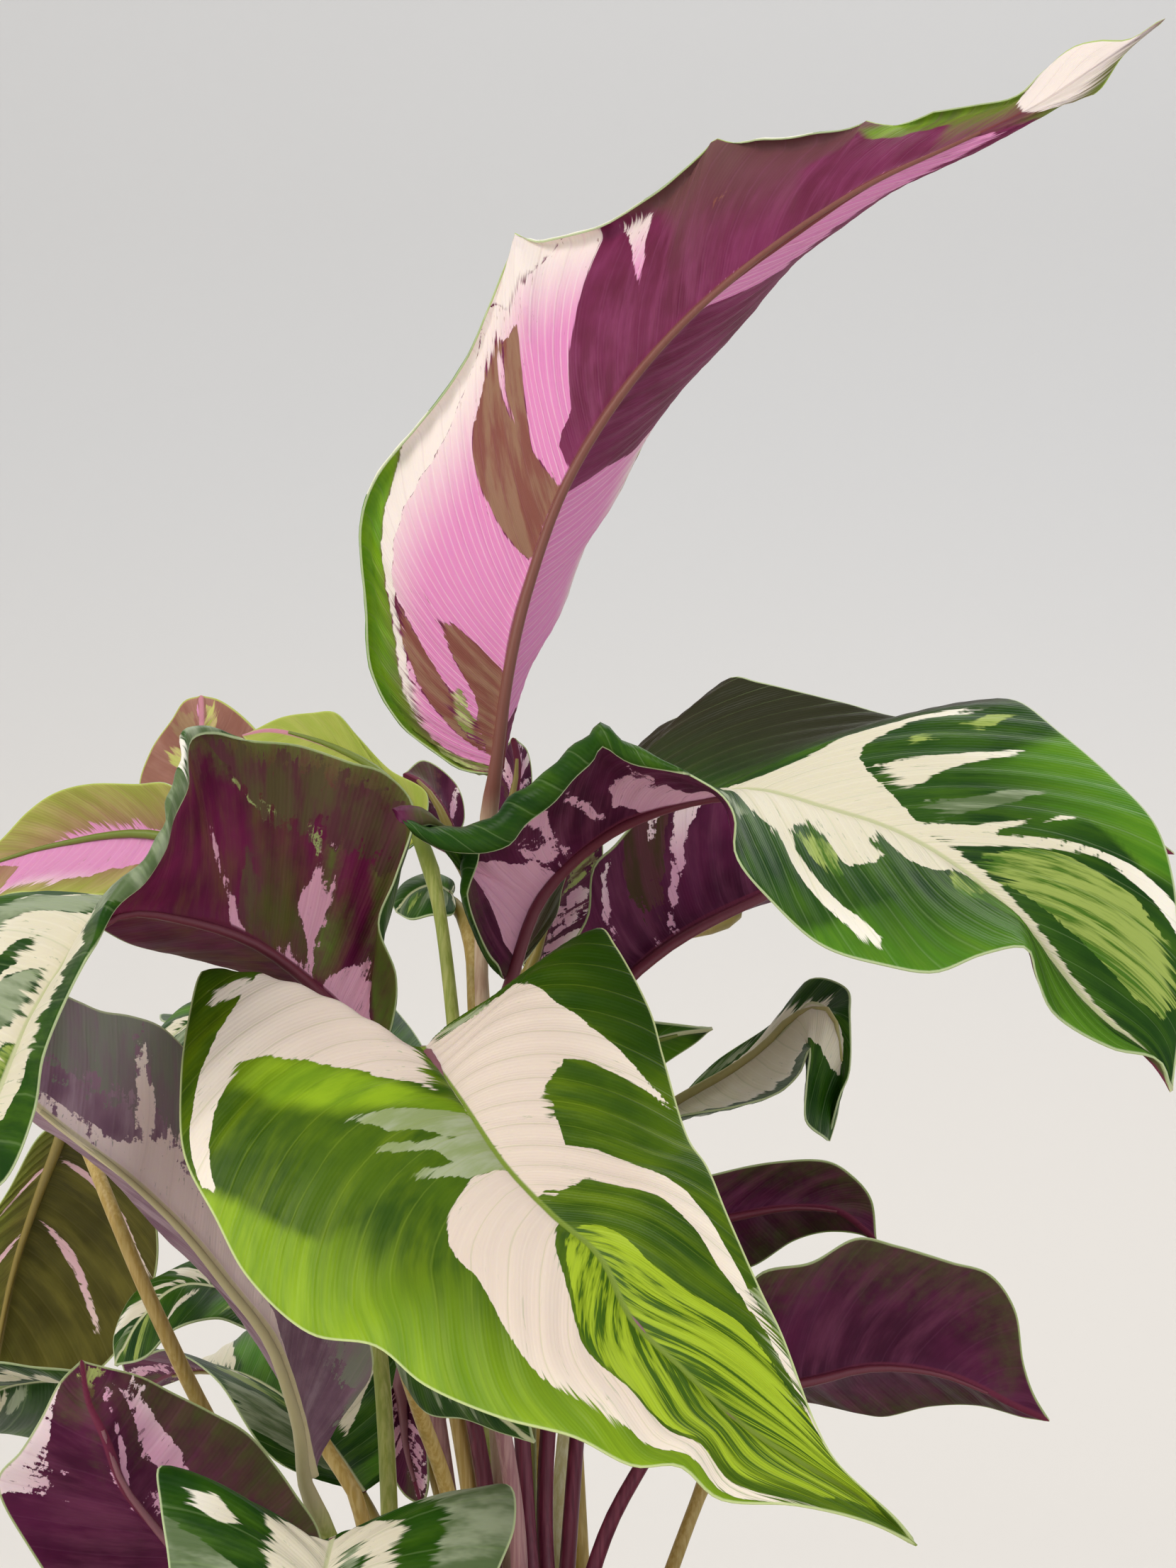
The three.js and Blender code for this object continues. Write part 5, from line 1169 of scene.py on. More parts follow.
PETIOLES: dict[Petiole, StemSkin] = {
    petiole: StemSkin(petiole.value, roughness, 1.45, *colours)
    for petiole, roughness, *colours in (
        (Petiole.WINE, 0.42, "#5E1B33", "#7B3348", "#6B2A3A"),
        (Petiole.TAN, 0.45, "#B0924A", "#C9B070", "#8A7A38"),
        (Petiole.GREEN, 0.45, "#8E9A42", "#B0B468", "#6F7F2C"),
        (Petiole.PINK, 0.45, "#9A6A70", "#B78F8C", "#84545E"),
        (Petiole.SAGE, 0.45, "#8E9A42", "#B0B468", "#B7AC84"),
        (Petiole.RUST, 0.5, "#B89C82", "#CDB69C", "#7A4238"),
        (Petiole.PALE, 0.5, "#C8C08A", "#DDD9B4", "#A8A066"),
    )
}
STONEWARE = Glaze("matt_glazed_stoneware", 0.42, 1.5, "#E9E6DF", "#DEDAD1", "#7A6A58")
PEAT = Grit("peat_potting_soil", 0.95, 1.4, "#1E140E", "#4A3524", 1.4)
BARK = Grit("composted_bark", 0.9, 1.4, "#2C1A10", "#6B4A30", 1.0)
PERLITE = Grit("expanded_perlite", 0.85, 1.5, "#CFC9BC", "#F4F1EA", 0.8)
BACKDROP = Paper("seamless_studio_paper", 0.95, 1.4, "#EAE6E1", "#D8D9DB")


def place_mesh(name: str, vertices: np.ndarray, faces: list[tuple[int, ...]],
               materials: list[bpy.types.Material]) -> bpy.types.Object:
    """Makes a smooth mesh object at the origin.

    Args:
        name: the piece's name.
        vertices: its points, in millimetres.
        faces: its faces, as numbers of points.
        materials: its material slots.

    Returns:
        The new object, linked to the scene.
    """
    mesh = bpy.data.meshes.new(name)
    mesh.from_pydata((vertices * MM).tolist(), [], faces)
    for material in materials:
        mesh.materials.append(material)
    mesh.shade_smooth()
    piece = bpy.data.objects.new(name, mesh)
    bpy.context.scene.collection.objects.link(piece)
    return piece


def baked(piece: bpy.types.Object) -> bpy.types.Object:
    """Replaces a piece's modifiers by their plain result.

    Args:
        piece: the object with its modifiers.

    Returns:
        The same object, with a plain mesh and no modifiers.
    """
    graph = bpy.context.evaluated_depsgraph_get()
    mesh = bpy.data.meshes.new_from_object(piece.evaluated_get(graph))
    piece.modifiers.clear()
    piece.data = mesh
    return piece


def hole_place(number: int) -> tuple[float, float]:
    """Gives where stem number stands in the soil, in millimetres."""
    radius = HOLE_SPREAD * math.sqrt(number + 0.5)
    return radius * math.cos(number * GOLDEN_ANGLE), radius * math.sin(number * GOLDEN_ANGLE)


class StemMaker:
    """Grows a round petiole along a path with a node tree, as a plain mesh."""

    SIDES = 14

    def __init__(self) -> None:
        """Builds the node tree with its named inputs."""
        tree = bpy.data.node_groups.new("petiole_along_path", "GeometryNodeTree")
        face = tree.interface
        face.new_socket("Path", in_out="INPUT", socket_type="NodeSocketGeometry")
        self.sides = face.new_socket("Sides", in_out="INPUT", socket_type="NodeSocketInt")
        self.finish = face.new_socket("Finish", in_out="INPUT", socket_type="NodeSocketMaterial")
        face.new_socket("Petiole", in_out="OUTPUT", socket_type="NodeSocketGeometry")
        given = add_node(tree, "NodeGroupInput")
        radius = add_node(tree, "GeometryNodeInputNamedAttribute", {0: "radius_mm"},
                          data_type="FLOAT")
        size = add_node(tree, "ShaderNodeMath", {0: radius.outputs[0], 1: MM}, operation="MULTIPLY")
        curve = add_node(tree, "GeometryNodeMeshToCurve", {0: given.outputs["Path"]})
        ring = add_node(tree, "GeometryNodeCurvePrimitiveCircle",
                        {"Resolution": given.outputs["Sides"], "Radius": 1.0})
        tube = add_node(tree, "GeometryNodeCurveToMesh",
                        {"Curve": curve.outputs[0], "Profile Curve": ring.outputs[0],
                         "Scale": size.outputs[0], "Fill Caps": True})
        soft = add_node(tree, "GeometryNodeSetShadeSmooth", {0: tube.outputs[0]})
        real = add_node(tree, "GeometryNodeRealizeInstances", {0: soft.outputs[0]})
        done = add_node(tree, "GeometryNodeSetMaterial",
                        {"Geometry": real.outputs[0], "Material": given.outputs["Finish"]})
        add_node(tree, "NodeGroupOutput", {0: done.outputs[0]})
        self.tree = tree

    def grow(self, centres: np.ndarray, radii: np.ndarray, down: np.ndarray,
             finish: bpy.types.Material) -> tuple[np.ndarray, list[tuple[int, ...]], np.ndarray]:
        """Grows one petiole.

        Args:
            centres: the points of its path, in millimetres.
            radii: its radius at each, in millimetres.
            down: how far each is below the blade's base, in millimetres.
            finish: its material.

        Returns:
            Its vertices in millimetres, its faces, and down at each vertex.
        """
        mesh = bpy.data.meshes.new("petiole_path")
        mesh.from_pydata((centres * MM).tolist(), [(i, i + 1) for i in range(len(centres) - 1)], [])
        for name, values in (("radius_mm", radii), ("down_mm", down)):
            mesh.attributes.new(name, "FLOAT", "POINT").data.foreach_set("value", values)
        path = bpy.data.objects.new("petiole_path", mesh)
        bpy.context.scene.collection.objects.link(path)
        modifier = path.modifiers.new("petiole", "NODES")
        modifier.node_group = self.tree
        modifier[self.sides.identifier] = self.SIDES
        modifier[self.finish.identifier] = finish
        tube = baked(path).data
        vertices = np.empty(len(tube.vertices) * 3)
        tube.vertices.foreach_get("co", vertices)
        reached = np.empty(len(tube.vertices))
        tube.attributes["down_mm"].data.foreach_get("value", reached)
        faces = [tuple(p.vertices) for p in tube.polygons]
        bpy.data.objects.remove(path)
        for used in (mesh, tube):
            bpy.data.meshes.remove(used)
        return vertices.reshape(-1, 3) / MM, faces, reached


@dataclass
class Leaf:
    """One leaf: a thin blade with a raised rib and side veins, and its petiole down to the soil."""

    shape: LeafShape
    dress: LeafDress
    seed: int
    thickness: float = 0.6
    rib_height: float = 1.1
    rib_spread: float = 1.3
    groove: float = 0.3
    quilt: float = 0.24
    quilt_spacing: float = LeafSkin.VEIN_SPACING
    rib_fan: float = 1.6
    vein_stretch: float = 1.25
    lip_turn: float = 2.9
    foot_radius: float = 1.9
    neck_radius: float = 1.25
    tip_radius: float = 0.35
    midrib_reach: float = 0.8
    midrib_sink: float = 0.4
    joint_swell: float = 0.5
    soil_top: float = 112.0
    foot_rise: float = 14.0
    foot_entry: float = 5.0
    foot_depth: float = 14.0

    # Millimetres: the farthest that a tissue's reach is told, inside it or outside.
    FAR = 20.0
    # Shares of the rib, from its far end back to the base, that the midrib passes under.
    MIDRIB_STOPS = (0.66, 0.52, 0.4, 0.28, 0.18, 0.1, 0.0)

    def half_surface(self, half: Half, t: np.ndarray, w: np.ndarray) -> np.ndarray:
        """Works out one half of the blade's middle surface.

        Args:
            half: which half.
            t: shares of the way from base to tip.
            w: shares of the way from rib to margin.

        Returns:
            Points in millimetres, by t and w.
        """
        shape = self.shape
        rails = shape.left if half is LEFT else shape.right
        rib = Rail(shape.rib)
        margin = Rail((shape.rib[0], *rails, shape.rib[-1]))
        start, along = rib.at(t**self.rib_fan), rib.tangent(t**self.rib_fan)
        end = margin.at(t)
        chord = end - start
        up = unit(np.cross(chord, along)) * half.value
        reach = np.linalg.norm(chord, axis=1, keepdims=True)
        middle = ((start + end) / 2 + up * (shape.bulge.get(half, 0.1) * reach)
                  - along * 0.12 * reach)
        outwards = unit(end - middle)
        shares, lips = np.array(shape.lip.get(half, ((0, 0), (1, 0)))).T
        lip = np.interp(t, shares, lips)[:, None]
        roll = lip / self.lip_turn
        end = end - outwards * roll
        under = unit(np.cross(outwards, along)) * -half.value
        width = np.maximum(np.linalg.norm(end - start, axis=1, keepdims=True), 1e-6)
        out = (width + lip) * w
        a = np.minimum(out / width, 1)[..., None]
        flat = ((1 - a) ** 2 * start[:, None] + 2 * a * (1 - a) * middle[:, None]
                + a**2 * end[:, None])
        turn = np.where(lip > 0, np.maximum(out - width, 0) / np.maximum(roll, 1e-6), 0)[..., None]
        return (flat + roll[..., None] * (np.sin(turn) * outwards[:, None]
                                          + (1 - np.cos(turn)) * under[:, None]))

    def surface(self) -> None:
        """Lays out the blade's middle surface, its veins' coordinates and its faces."""
        rows, columns = self.dress.rows, self.dress.columns
        t = np.linspace(0, 1, rows + 1)[1:-1]
        even = np.linspace(0, 1, columns + 1)
        w = 0.6 * even + 0.4 * (1 - np.cos(math.pi * even)) / 2
        halves = {half: self.half_surface(half, t, w) for half in Half}
        grid = np.concatenate([halves[LEFT][:, :0:-1], halves[RIGHT]], 1)
        side = np.concatenate([-w[:0:-1], w])
        rib = Rail(self.shape.rib)
        ends = np.asarray((self.shape.rib[0], self.shape.rib[-1]), float)
        self.points = np.vstack([ends[:1], grid.reshape(-1, 3), ends[1:]])
        across = len(side)
        steps = np.linalg.norm(np.diff(grid, axis=1), axis=2)
        reached = np.concatenate([np.zeros((rows - 1, 1)), np.cumsum(steps, 1)], 1)
        reached = np.abs(reached - reached[:, columns : columns + 1])
        full = np.where(side[None] < 0, reached[:, :1], reached[:, -1:])
        self.length = rib.length
        flat_t = np.repeat(t, across)
        flat_w = np.tile(side, rows - 1)
        self.t = np.concatenate([[0.0], flat_t, [1.0]])
        self.w = np.concatenate([[0.0], flat_w, [0.0]])
        self.out = np.concatenate([[0.0], reached.ravel(), [0.0]])
        self.full = np.concatenate([[0.5], np.maximum(full, 0.5).ravel(), [0.5]])
        swept = self.t - self.dress.vein_sweep * np.abs(self.w) ** 0.9
        self.along = swept * self.length * self.vein_stretch
        at = 1 + np.arange((rows - 1) * across).reshape(rows - 1, across)
        quads = np.stack([at[:-1, :-1], at[:-1, 1:], at[1:, 1:], at[1:, :-1]], -1).reshape(-1, 4)
        tip = len(self.points) - 1
        fans = [(0, int(b), int(a)) for a, b in zip(at[0, :-1], at[0, 1:])]
        fans += [(tip, int(a), int(b)) for a, b in zip(at[-1, :-1], at[-1, 1:])]
        self.faces = [tuple(q) for q in quads.tolist()] + fans
        self.outline = [0, *at[:, 0].tolist(), tip, *at[::-1, -1].tolist()]
        normals = np.zeros_like(self.points)
        for corners in (quads[:, [0, 1, 2]], quads[:, [0, 2, 3]], np.array(fans)):
            a, b, c = (self.points[corners[:, k]] for k in range(3))
            facing = np.cross(b - a, c - a)
            for k in range(3):
                np.add.at(normals, corners[:, k], facing)
        self.normals = unit(normals)

    def grown_patches(self) -> tuple[Patch, ...]:
        """Draws markings along the veins for a leaf that has none of its own."""
        chance = np.random.default_rng(self.seed)
        share = self.dress.white_share
        patches = []
        for half in Half:
            start = chance.uniform(0.02, 0.12)
            while start < 0.93:
                wide = chance.uniform(0.03, 0.13)
                tone = CREAM if chance.random() < share else (LIME, GREY, PLAIN, BRIGHT)[
                    int(chance.integers(4))]
                inner, outer = chance.uniform(0, 0.25), chance.uniform(0.5, 1.0)
                lean = self.dress.vein_sweep + chance.uniform(0, 0.06)
                taper = chance.uniform(0.3, 0.9)
                patches.append(Patch(tone, half, (
                    (inner, start, start + wide),
                    ((inner + outer) / 2, start + lean * 0.6, start + lean * 0.6 + wide),
                    (outer, start + lean, start + lean + wide * taper))))
                start += wide + chance.uniform(0.0, 0.05)
        return tuple(patches)

    def tissues(self, face: Face) -> dict[Tone, np.ndarray]:
        """Paints the markings as signed reaches, in millimetres, in the order they are listed.

        Args:
            face: which face of the blade.

        Returns:
            For each tissue, how far inside it each point lies; negative outside it.
        """
        reach = {tone: np.full(len(self.points), -self.FAR) for tone in Tone if tone is not PLAIN}
        across = np.abs(self.w)
        for patch in self.dress.patches or self.grown_patches():
            if patch.face is not None and patch.face is not face:
                continue
            out, low, high = np.array(patch.sections).T
            inside = np.minimum(self.t - np.interp(across, out, low),
                                np.interp(across, out, high) - self.t)
            inside = inside * self.length * self.vein_stretch
            if out[0] > 0.02:
                inside = np.minimum(inside, (across - out[0]) * self.full / patch.teeth)
            if out[-1] < 0.98:
                inside = np.minimum(inside, (out[-1] - across) * self.full / patch.teeth)
            wrong = (self.w * patch.half.value) < 0
            inside = np.where(wrong, np.minimum(inside, -self.out / 2), inside)
            for tone, values in reach.items():
                if tone is patch.tone:
                    reach[tone] = np.maximum(values, inside)
                else:
                    reach[tone] = np.minimum(values, -inside)
        return {tone: np.clip(values, -self.FAR, self.FAR) for tone, values in reach.items()}

    def stem_course(self) -> tuple[np.ndarray, np.ndarray, np.ndarray]:
        """Gives the petiole's path, its radii, and how far each point is below the blade."""
        x, y = hole_place(self.shape.hole)
        rib = Rail(self.shape.rib)
        low = self.soil_top + self.foot_rise
        shown = [p for p in self.shape.stem if p[2] > low + 8]
        across = 2 * self.dress.columns + 1
        # The petiole runs on under the blade as its midrib, ever thinner and sunk in the keel.
        under = []
        for reach in (self.midrib_reach, *self.MIDRIB_STOPS):
            row = max(1, int(reach ** (1 / self.rib_fan) * self.dress.rows) - 1)
            sink = np.interp(reach, (0, self.midrib_reach),
                             (self.neck_radius, self.tip_radius)) + self.midrib_sink
            normal = self.normals[1 + row * across + self.dress.columns]
            under.append(tuple(rib.at(np.array(reach)) - sink * normal))
        rail = Rail((*under, *shown, (x, y, low), (x, y, self.soil_top + self.foot_entry)))
        neck = self.midrib_reach * rib.length / rail.length
        share = np.linspace(0, 1, max(24, int(rail.length / 4)))
        centres = np.vstack([rail.at(share), [[x, y, self.soil_top - self.foot_depth]]])
        down = (share - neck) * rail.length
        radii = np.interp(share, (0, neck, 1),
                          (self.tip_radius, self.neck_radius, self.foot_radius))
        radii = radii + self.joint_swell * np.exp(-(((down - 7) / 6) ** 2))
        end = down[-1] + self.foot_entry + self.foot_depth
        return centres, np.append(radii, radii[-1]), np.append(down, end)

    def build(self, stems: StemMaker) -> bpy.types.Object:
        """Builds the whole leaf as one piece.

        Args:
            stems: the maker of petioles.

        Returns:
            The leaf's object.
        """
        self.surface()
        fade = np.clip(self.out / 5, 0, 1) * np.clip((self.full - self.out) / 4, 0, 1)
        quilt = self.quilt * np.sin(2 * math.pi * self.along / self.quilt_spacing) * fade
        bank = np.exp(-((self.out / self.rib_spread) ** 2))
        keel = self.rib_height * (1 - 0.7 * self.t) * np.clip(self.t / 0.04, 0, 1)
        edge = np.clip((self.full - self.out) / 0.6, 0.45, 1)
        half = self.thickness / 2 * edge
        groove = self.groove * bank * (self.t < 0.95)
        upper = self.points + self.normals * (half + quilt - groove)[:, None]
        lower = self.points + self.normals * (quilt - half - keel * bank)[:, None]
        count = len(self.points)
        faces = list(self.faces)
        faces += [tuple(n + count for n in f[::-1]) for f in self.faces]
        ring = self.outline
        for a, b in zip(ring, ring[1:] + ring[:1]):
            faces.append((a, b, b + count, a + count))
        petiole = PETIOLES[self.dress.petiole].material()
        tube, tube_faces, down = stems.grow(*self.stem_course(), petiole)
        faces += [tuple(n + 2 * count for n in f) for f in tube_faces]
        vertices = np.vstack([upper, lower, tube])
        skins = [SKINS[s].material() for s in (self.dress.upper, self.dress.lower)]
        piece = place_mesh(self.shape.name + "_fine", vertices, faces, [*skins, petiole])
        slots = np.zeros(len(faces), np.int32)
        slots[len(self.faces) : 2 * len(self.faces)] = 1
        slots[len(faces) - len(tube_faces) :] = 2
        piece.data.polygons.foreach_set("material_index", slots)
        self.mark(piece.data, len(tube), down)
        piece.data.set_sharp_from_angle(angle=math.radians(55))
        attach(piece, BODY)
        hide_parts(self.shape.name)
        return piece

    def mark(self, mesh: bpy.types.Mesh, tube_count: int, down: np.ndarray) -> None:
        """Writes the veins' coordinates and the tissues on the mesh.

        Args:
            mesh: the leaf's mesh.
            tube_count: how many of its last points are the petiole's.
            down: how far each of those is below the blade's base.
        """
        shift = 211.0 * self.seed
        vein = np.stack([self.along + shift, self.out, self.full - self.out], -1)
        bare = np.zeros((tube_count, 3))
        share_out, below = np.outer(np.abs(self.w), (0, 1, 0)), np.outer(down, (1, 0, 0))
        for name, blade, tube in (("vein", vein, bare), ("place", share_out, below)):
            values = np.vstack([blade, blade, tube]).ravel()
            mesh.attributes.new(name, "FLOAT_VECTOR", "POINT").data.foreach_set("vector", values)
        upper, lower = self.tissues(UPPER), self.tissues(LOWER)
        for tone in upper:
            values = np.concatenate([upper[tone], lower[tone], np.full(tube_count, -self.FAR)])
            mesh.attributes.new(tone.value, "FLOAT", "POINT").data.foreach_set("value", values)


@dataclass
class Pot:
    """A plain tapered pot with a raised rim, thrown in one piece."""

    height: float = 125.0
    top_radius: float = 70.0
    base_radius: float = 52.0
    wall: float = 4.5
    floor: float = 6.0
    edge: float = 1.5
    rim_height: float = 16.0
    rim_step: float = 2.5
    sides: int = 96

    def profile(self) -> list[tuple[float, float]]:
        """Gives half of the pot's section, from under the floor round to inside, as (r, z)."""
        slope = (self.top_radius - self.rim_step - self.base_radius) / self.height
        rim_foot = self.height - self.rim_height
        r_foot = self.base_radius + slope * rim_foot
        line: list[tuple[float, float]] = [(0, 0), (self.base_radius - 6, 0)]

        def turn(corner: tuple[float, float], radius: float, start: float, end: float) -> None:
            """Rounds a corner about a centre from a start to an end angle in degrees."""
            for k in range(5):
                a = math.radians(start + (end - start) * k / 4)
                line.append((corner[0] + radius * math.cos(a), corner[1] + radius * math.sin(a)))

        e = self.edge
        turn((self.base_radius - e, e), e, -90, -8)
        line += [(self.base_radius + slope * z, z) for z in (20, 45, 70, 92)]
        line.append((r_foot - 0.2, rim_foot - 1.0))
        turn((r_foot + 0.9, rim_foot - 0.1), 0.9, 180, 90)
        turn((self.top_radius - e, rim_foot + 0.8 + e), e, -90, 0)
        turn((self.top_radius - e, self.height - e), e, 0, 90)
        turn((self.top_radius - self.wall + e, self.height - e), e, 90, 180)
        line += [(self.top_radius - self.wall - 0.6, rim_foot + 4),
                 (r_foot - self.wall, rim_foot - 3),
                 (self.base_radius + slope * 50 - self.wall, 50),
                 (self.base_radius + slope * 6 - self.wall, self.floor), (0, self.floor)]
        return line

    def build(self) -> bpy.types.Object:
        """Turns the section once round.

        Returns:
            The pot's object.
        """
        line = self.profile()
        vertices: list[Point] = []
        rings: list[list[int]] = []
        for r, z in line:
            ring = []
            for j in range(self.sides if r else 1):
                a = 2 * math.pi * j / self.sides
                ring.append(len(vertices))
                vertices.append((r * math.cos(a), r * math.sin(a), z))
            rings.append(ring)
        faces: list[tuple[int, ...]] = []
        for low, high in zip(rings, rings[1:]):
            for j in range(self.sides):
                k = (j + 1) % self.sides
                if len(low) == 1:
                    faces.append((low[0], high[k], high[j]))
                elif len(high) == 1:
                    faces.append((low[j], low[k], high[0]))
                else:
                    faces.append((low[j], low[k], high[k], high[j]))
        piece = place_mesh("pot_glazed", np.array(vertices, float), faces, [STONEWARE.material()])
        piece.data.set_sharp_from_angle(angle=math.radians(50))
        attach(piece, BODY)
        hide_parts("pot")
        return piece


@dataclass
class Soil:
    """The potting soil: a rough peaty top with crumbs of bark and perlite strewn on it."""

    top: float = 112.0
    rise: float = 2.0
    clod: float = 0.9
    radius: float = 62.6
    foot_radius: float = 48.0
    shoulder: float = 106.0
    foot: float = 6.3
    rings: int = 56
    sides: int = 120
    steepest: float = 0.3
    strewn_radius: float = 60.5
    bark_density: float = 90000.0
    perlite_density: float = 22000.0

    def height(self, x: np.ndarray, y: np.ndarray) -> np.ndarray:
        """Gives the soil's uneven height at points of its top."""
        far = np.hypot(x, y) / Pot.top_radius
        clods = np.sin(0.31 * x + 1.3) * np.cos(0.37 * y + 0.4)
        crumbs = np.sin(0.83 * x - 0.52 * y) * 0.6
        fine = np.sin(1.9 * x + 2.3 * y) * np.cos(2.6 * x - 1.7 * y) * 0.35
        grit = np.sin(4.3 * x + 0.7 * np.sin(3.1 * y)) * np.sin(3.9 * y + 1.1) * 0.22
        return self.top + self.rise * (1 - far * far) + self.clod * (clods + crumbs + fine + grit)

    def crumbs_tree(self) -> bpy.types.NodeTree:
        """Builds the tree that strews crumbs over the soil's top."""
        tree = bpy.data.node_groups.new("strewn_crumbs", "GeometryNodeTree")
        face = tree.interface
        face.new_socket("Top", in_out="INPUT", socket_type="NodeSocketGeometry")
        for name, kind in (("Density", "NodeSocketFloat"), ("Smallest", "NodeSocketFloat"),
                           ("Largest", "NodeSocketFloat"), ("Seed", "NodeSocketInt"),
                           ("Stretch", "NodeSocketVector"), ("Finish", "NodeSocketMaterial")):
            face.new_socket(name, in_out="INPUT", socket_type=kind)
        face.new_socket("Crumbs", in_out="OUTPUT", socket_type="NodeSocketGeometry")
        given = add_node(tree, "NodeGroupInput").outputs
        strewn = add_node(tree, "GeometryNodeDistributePointsOnFaces",
                          {"Mesh": given["Top"], "Density": given["Density"],
                           "Seed": given["Seed"]})
        ball = add_node(tree, "GeometryNodeMeshIcoSphere", {"Radius": 1.0, "Subdivisions": 2})
        drawn = add_node(tree, "FunctionNodeRandomValue",
                         {2: given["Smallest"], 3: given["Largest"], "Seed": given["Seed"]},
                         data_type="FLOAT")
        size = add_node(tree, "ShaderNodeVectorMath",
                        {0: given["Stretch"], "Scale": drawn.outputs[1]}, operation="SCALE")
        turned = add_node(tree, "FunctionNodeRandomValue",
                          {0: (0.0, 0.0, 0.0), 1: (6.283, 6.283, 6.283), "Seed": given["Seed"]},
                          data_type="FLOAT_VECTOR")
        placed = add_node(tree, "GeometryNodeInstanceOnPoints",
                          {"Points": strewn.outputs[0], "Instance": ball.outputs[0],
                           "Rotation": turned.outputs[0], "Scale": size.outputs[0]})
        real = add_node(tree, "GeometryNodeRealizeInstances", {0: placed.outputs[0]})
        place = add_node(tree, "GeometryNodeInputPosition")
        rough = add_node(tree, "ShaderNodeTexNoise", {"Vector": place.outputs[0], "Scale": 900.0})
        push = add_node(tree, "ShaderNodeVectorMath",
                        {0: rough.outputs["Color"], 1: (0.5, 0.5, 0.5)}, operation="SUBTRACT")
        shift = add_node(tree, "ShaderNodeVectorMath", {0: push.outputs[0], "Scale": 1.4 * MM},
                         operation="SCALE")
        broken = add_node(tree, "GeometryNodeSetPosition",
                          {"Geometry": real.outputs[0], "Offset": shift.outputs[0]})
        done = add_node(tree, "GeometryNodeSetMaterial",
                        {"Geometry": broken.outputs[0], "Material": given["Finish"]})
        add_node(tree, "NodeGroupOutput", {0: done.outputs[0]})
        return tree

    def build(self) -> bpy.types.Object:
        """Builds the soil's plug with its rough top.

        Returns:
            The soil's object.
        """
        radii = self.radius * np.linspace(0, 1, self.rings + 1)[1:]
        turns = 2 * math.pi * np.arange(self.sides) / self.sides
        x, y = np.outer(radii, np.cos(turns)), np.outer(radii, np.sin(turns))
        rings = [np.stack([x, y, self.height(x, y)], -1).reshape(-1, 3)]
        for radius, z in ((self.radius, self.shoulder), (self.foot_radius, self.foot)):
            rings.append(np.stack([radius * np.cos(turns), radius * np.sin(turns),
                                   np.full(self.sides, z)], -1))
        middle = np.array([[0, 0, float(self.height(np.array(0.0), np.array(0.0)))]])
        vertices = np.vstack([middle, *rings, [[0, 0, self.foot]]])
        faces: list[tuple[int, ...]] = []
        last = self.rings + 2
        for j in range(self.sides):
            k = (j + 1) % self.sides
            faces.append((0, 1 + j, 1 + k))
            for i in range(last - 1):
                a, b = 1 + i * self.sides, 1 + (i + 1) * self.sides
                faces.append((a + j, b + j, b + k, a + k))
            end = 1 + (last - 1) * self.sides
            faces.append((len(vertices) - 1, end + k, end + j))
        piece = place_mesh("soil_rough", vertices, faces, [PEAT.material()])
        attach(piece, BODY)
        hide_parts("soil")
        return piece

    def strew(self, soil: bpy.types.Object) -> list[bpy.types.Object]:
        """Strews bark and perlite over the soil.

        Args:
            soil: the soil's object.

        Returns:
            The bark and the perlite, each one piece.
        """
        tree = self.crumbs_tree()
        names = {s.name: s.identifier for s in tree.interface.items_tree if s.in_out == "INPUT"}
        pieces = []
        for name, density, small, large, stretch, finish, seed in (
            ("soil_bark", self.bark_density, 0.7, 2.0, (1.0, 0.7, 0.45), BARK, 11),
            ("soil_perlite", self.perlite_density, 0.6, 1.3, (1.0, 0.9, 0.8), PERLITE, 23),
        ):
            mesh = bpy.data.meshes.new(name)
            grown = bmesh.new()
            grown.from_mesh(soil.data)
            bare = [f for f in grown.faces if f.normal.z < self.steepest
                    or f.calc_center_median().xy.length > self.strewn_radius * MM]
            bmesh.ops.delete(grown, geom=bare, context="FACES")
            grown.to_mesh(mesh)
            grown.free()
            piece = bpy.data.objects.new(name, mesh)
            bpy.context.scene.collection.objects.link(piece)
            modifier = piece.modifiers.new("crumbs", "NODES")
            modifier.node_group = tree
            settings = {"Density": density, "Smallest": small * MM, "Largest": large * MM,
                        "Seed": seed, "Stretch": stretch, "Finish": finish.material()}
            for key, value in settings.items():
                modifier[names[key]] = value
            baked(piece)
            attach(piece, BODY)
            pieces.append(piece)
        return pieces


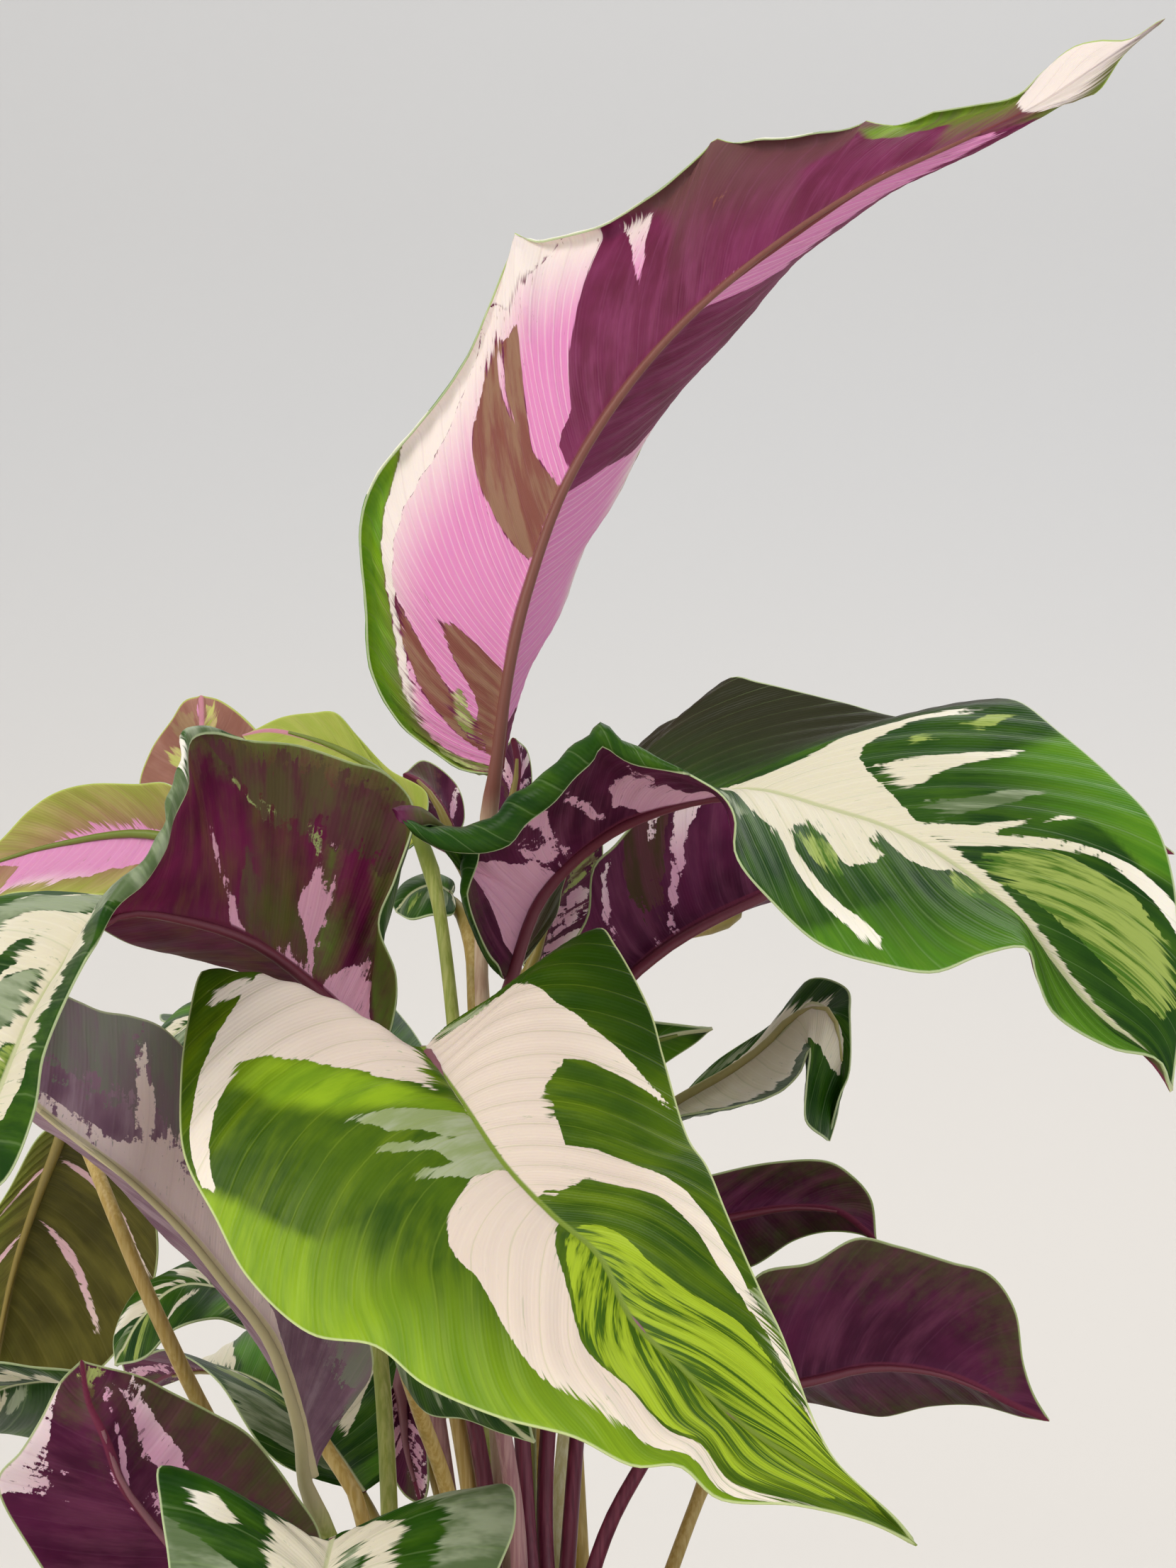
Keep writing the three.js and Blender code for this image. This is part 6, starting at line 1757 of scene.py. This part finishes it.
@dataclass
class Studio:
    """The pale sweep that the plant stands on, the soft lights and the camera."""

    floor_half_width: float = 2.6
    floor_front: float = -2.2
    back: float = 1.5
    bend: float = 0.7
    height: float = 2.6
    camera_place: Point = (0.010, -0.620, 0.330)
    focal_pixels: float = 4588.0
    picture_height: float = 2212.0

    def sweep(self) -> bpy.types.Object:
        """Builds the floor that curves up into the backdrop."""
        line = [(self.floor_front, 0.0), (self.back - self.bend, 0.0)]
        for k in range(1, 25):
            a = math.radians(90 * k / 24)
            line.append((self.back - self.bend + self.bend * math.sin(a),
                         self.bend * (1 - math.cos(a))))
        line.append((self.back, self.height))
        wide = self.floor_half_width
        vertices = np.array([(x, y, z) for y, z in line for x in (-wide, wide)]) / MM
        faces = [(2 * i, 2 * i + 1, 2 * i + 3, 2 * i + 2) for i in range(len(line) - 1)]
        piece = place_mesh("studio_sweep", vertices, faces, [BACKDROP.material()])
        return piece

    def light(self, name: str, place: Point, target: Point, size: float, power: float,
              colour: str) -> None:
        """Hangs one soft square light.

        Args:
            name: its name.
            place: where it hangs, in metres.
            target: what it faces.
            size: its side, in metres.
            power: its power, in watts.
            colour: its sRGB hex colour.
        """
        lamp = bpy.data.lights.new(name, "AREA")
        lamp.size, lamp.energy, lamp.color = size, power, linear(colour)[:3]
        stand = bpy.data.objects.new(name, lamp)
        away = np.array(place) - np.array(target)
        stand.location = place
        stand.rotation_euler = (math.acos(away[2] / np.linalg.norm(away)), 0.0,
                                math.atan2(away[1], away[0]) + math.pi / 2)
        bpy.context.scene.collection.objects.link(stand)

    def lights(self) -> None:
        """Hangs the key, the fill, the back light and the sky."""
        middle = (0.0, 0.0, 0.28)
        self.light("key_softbox", (-1.0, -1.1, 1.5), middle, 1.2, 23.0, "#FFFAF2")
        self.light("fill_softbox", (1.3, -1.2, 0.9), middle, 1.4, 7.0, "#F6F8FF")
        self.light("back_softbox", (0.5, 1.1, 1.7), middle, 1.3, 13.0, "#FFFFFF")
        world = bpy.data.worlds.new("studio_air")
        bpy.context.scene.world = world
        world.use_nodes = True
        air = world.node_tree.nodes["Background"]
        air.inputs[0].default_value = linear("#F2F1EF")
        air.inputs[1].default_value = 0.5

    def camera(self) -> None:
        """Sets the camera at the photograph's place and angle of view, with plain colours."""
        bpy.context.scene.view_settings.view_transform = "Standard"
        lens = bpy.data.cameras.new("view")
        lens.sensor_width = 36.0
        lens.lens = lens.sensor_width * self.focal_pixels / self.picture_height
        stand = bpy.data.objects.new("view", lens)
        stand.location = self.camera_place
        stand.rotation_euler = (math.pi / 2, 0.0, 0.0)
        bpy.context.scene.collection.objects.link(stand)
        bpy.context.scene.camera = stand


def main() -> None:
    """Builds the plant, its pot and the studio, piece by piece."""
    logging.basicConfig(level=logging.INFO, format="%(name)s: %(message)s")
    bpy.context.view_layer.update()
    studio = Studio()
    studio.camera()
    studio.lights()
    studio.sweep()
    LOG.info("studio set")
    Pot().build()
    LOG.info("pot")
    soil = Soil()
    ground = soil.build()
    LOG.info("soil with %d heaps of crumbs", len(soil.strew(ground)))
    stems = StemMaker()
    shapes = (*LEAVES, *(spray_shape(s) for s in SPRAYS))
    for seed, shape in enumerate(shapes, start=1):
        piece = Leaf(shape, DRESSES.get(shape.name, LeafDress()), seed).build(stems)
        LOG.info("%s with %d faces", shape.name, len(piece.data.polygons))


if __name__ == "__main__":
    main()
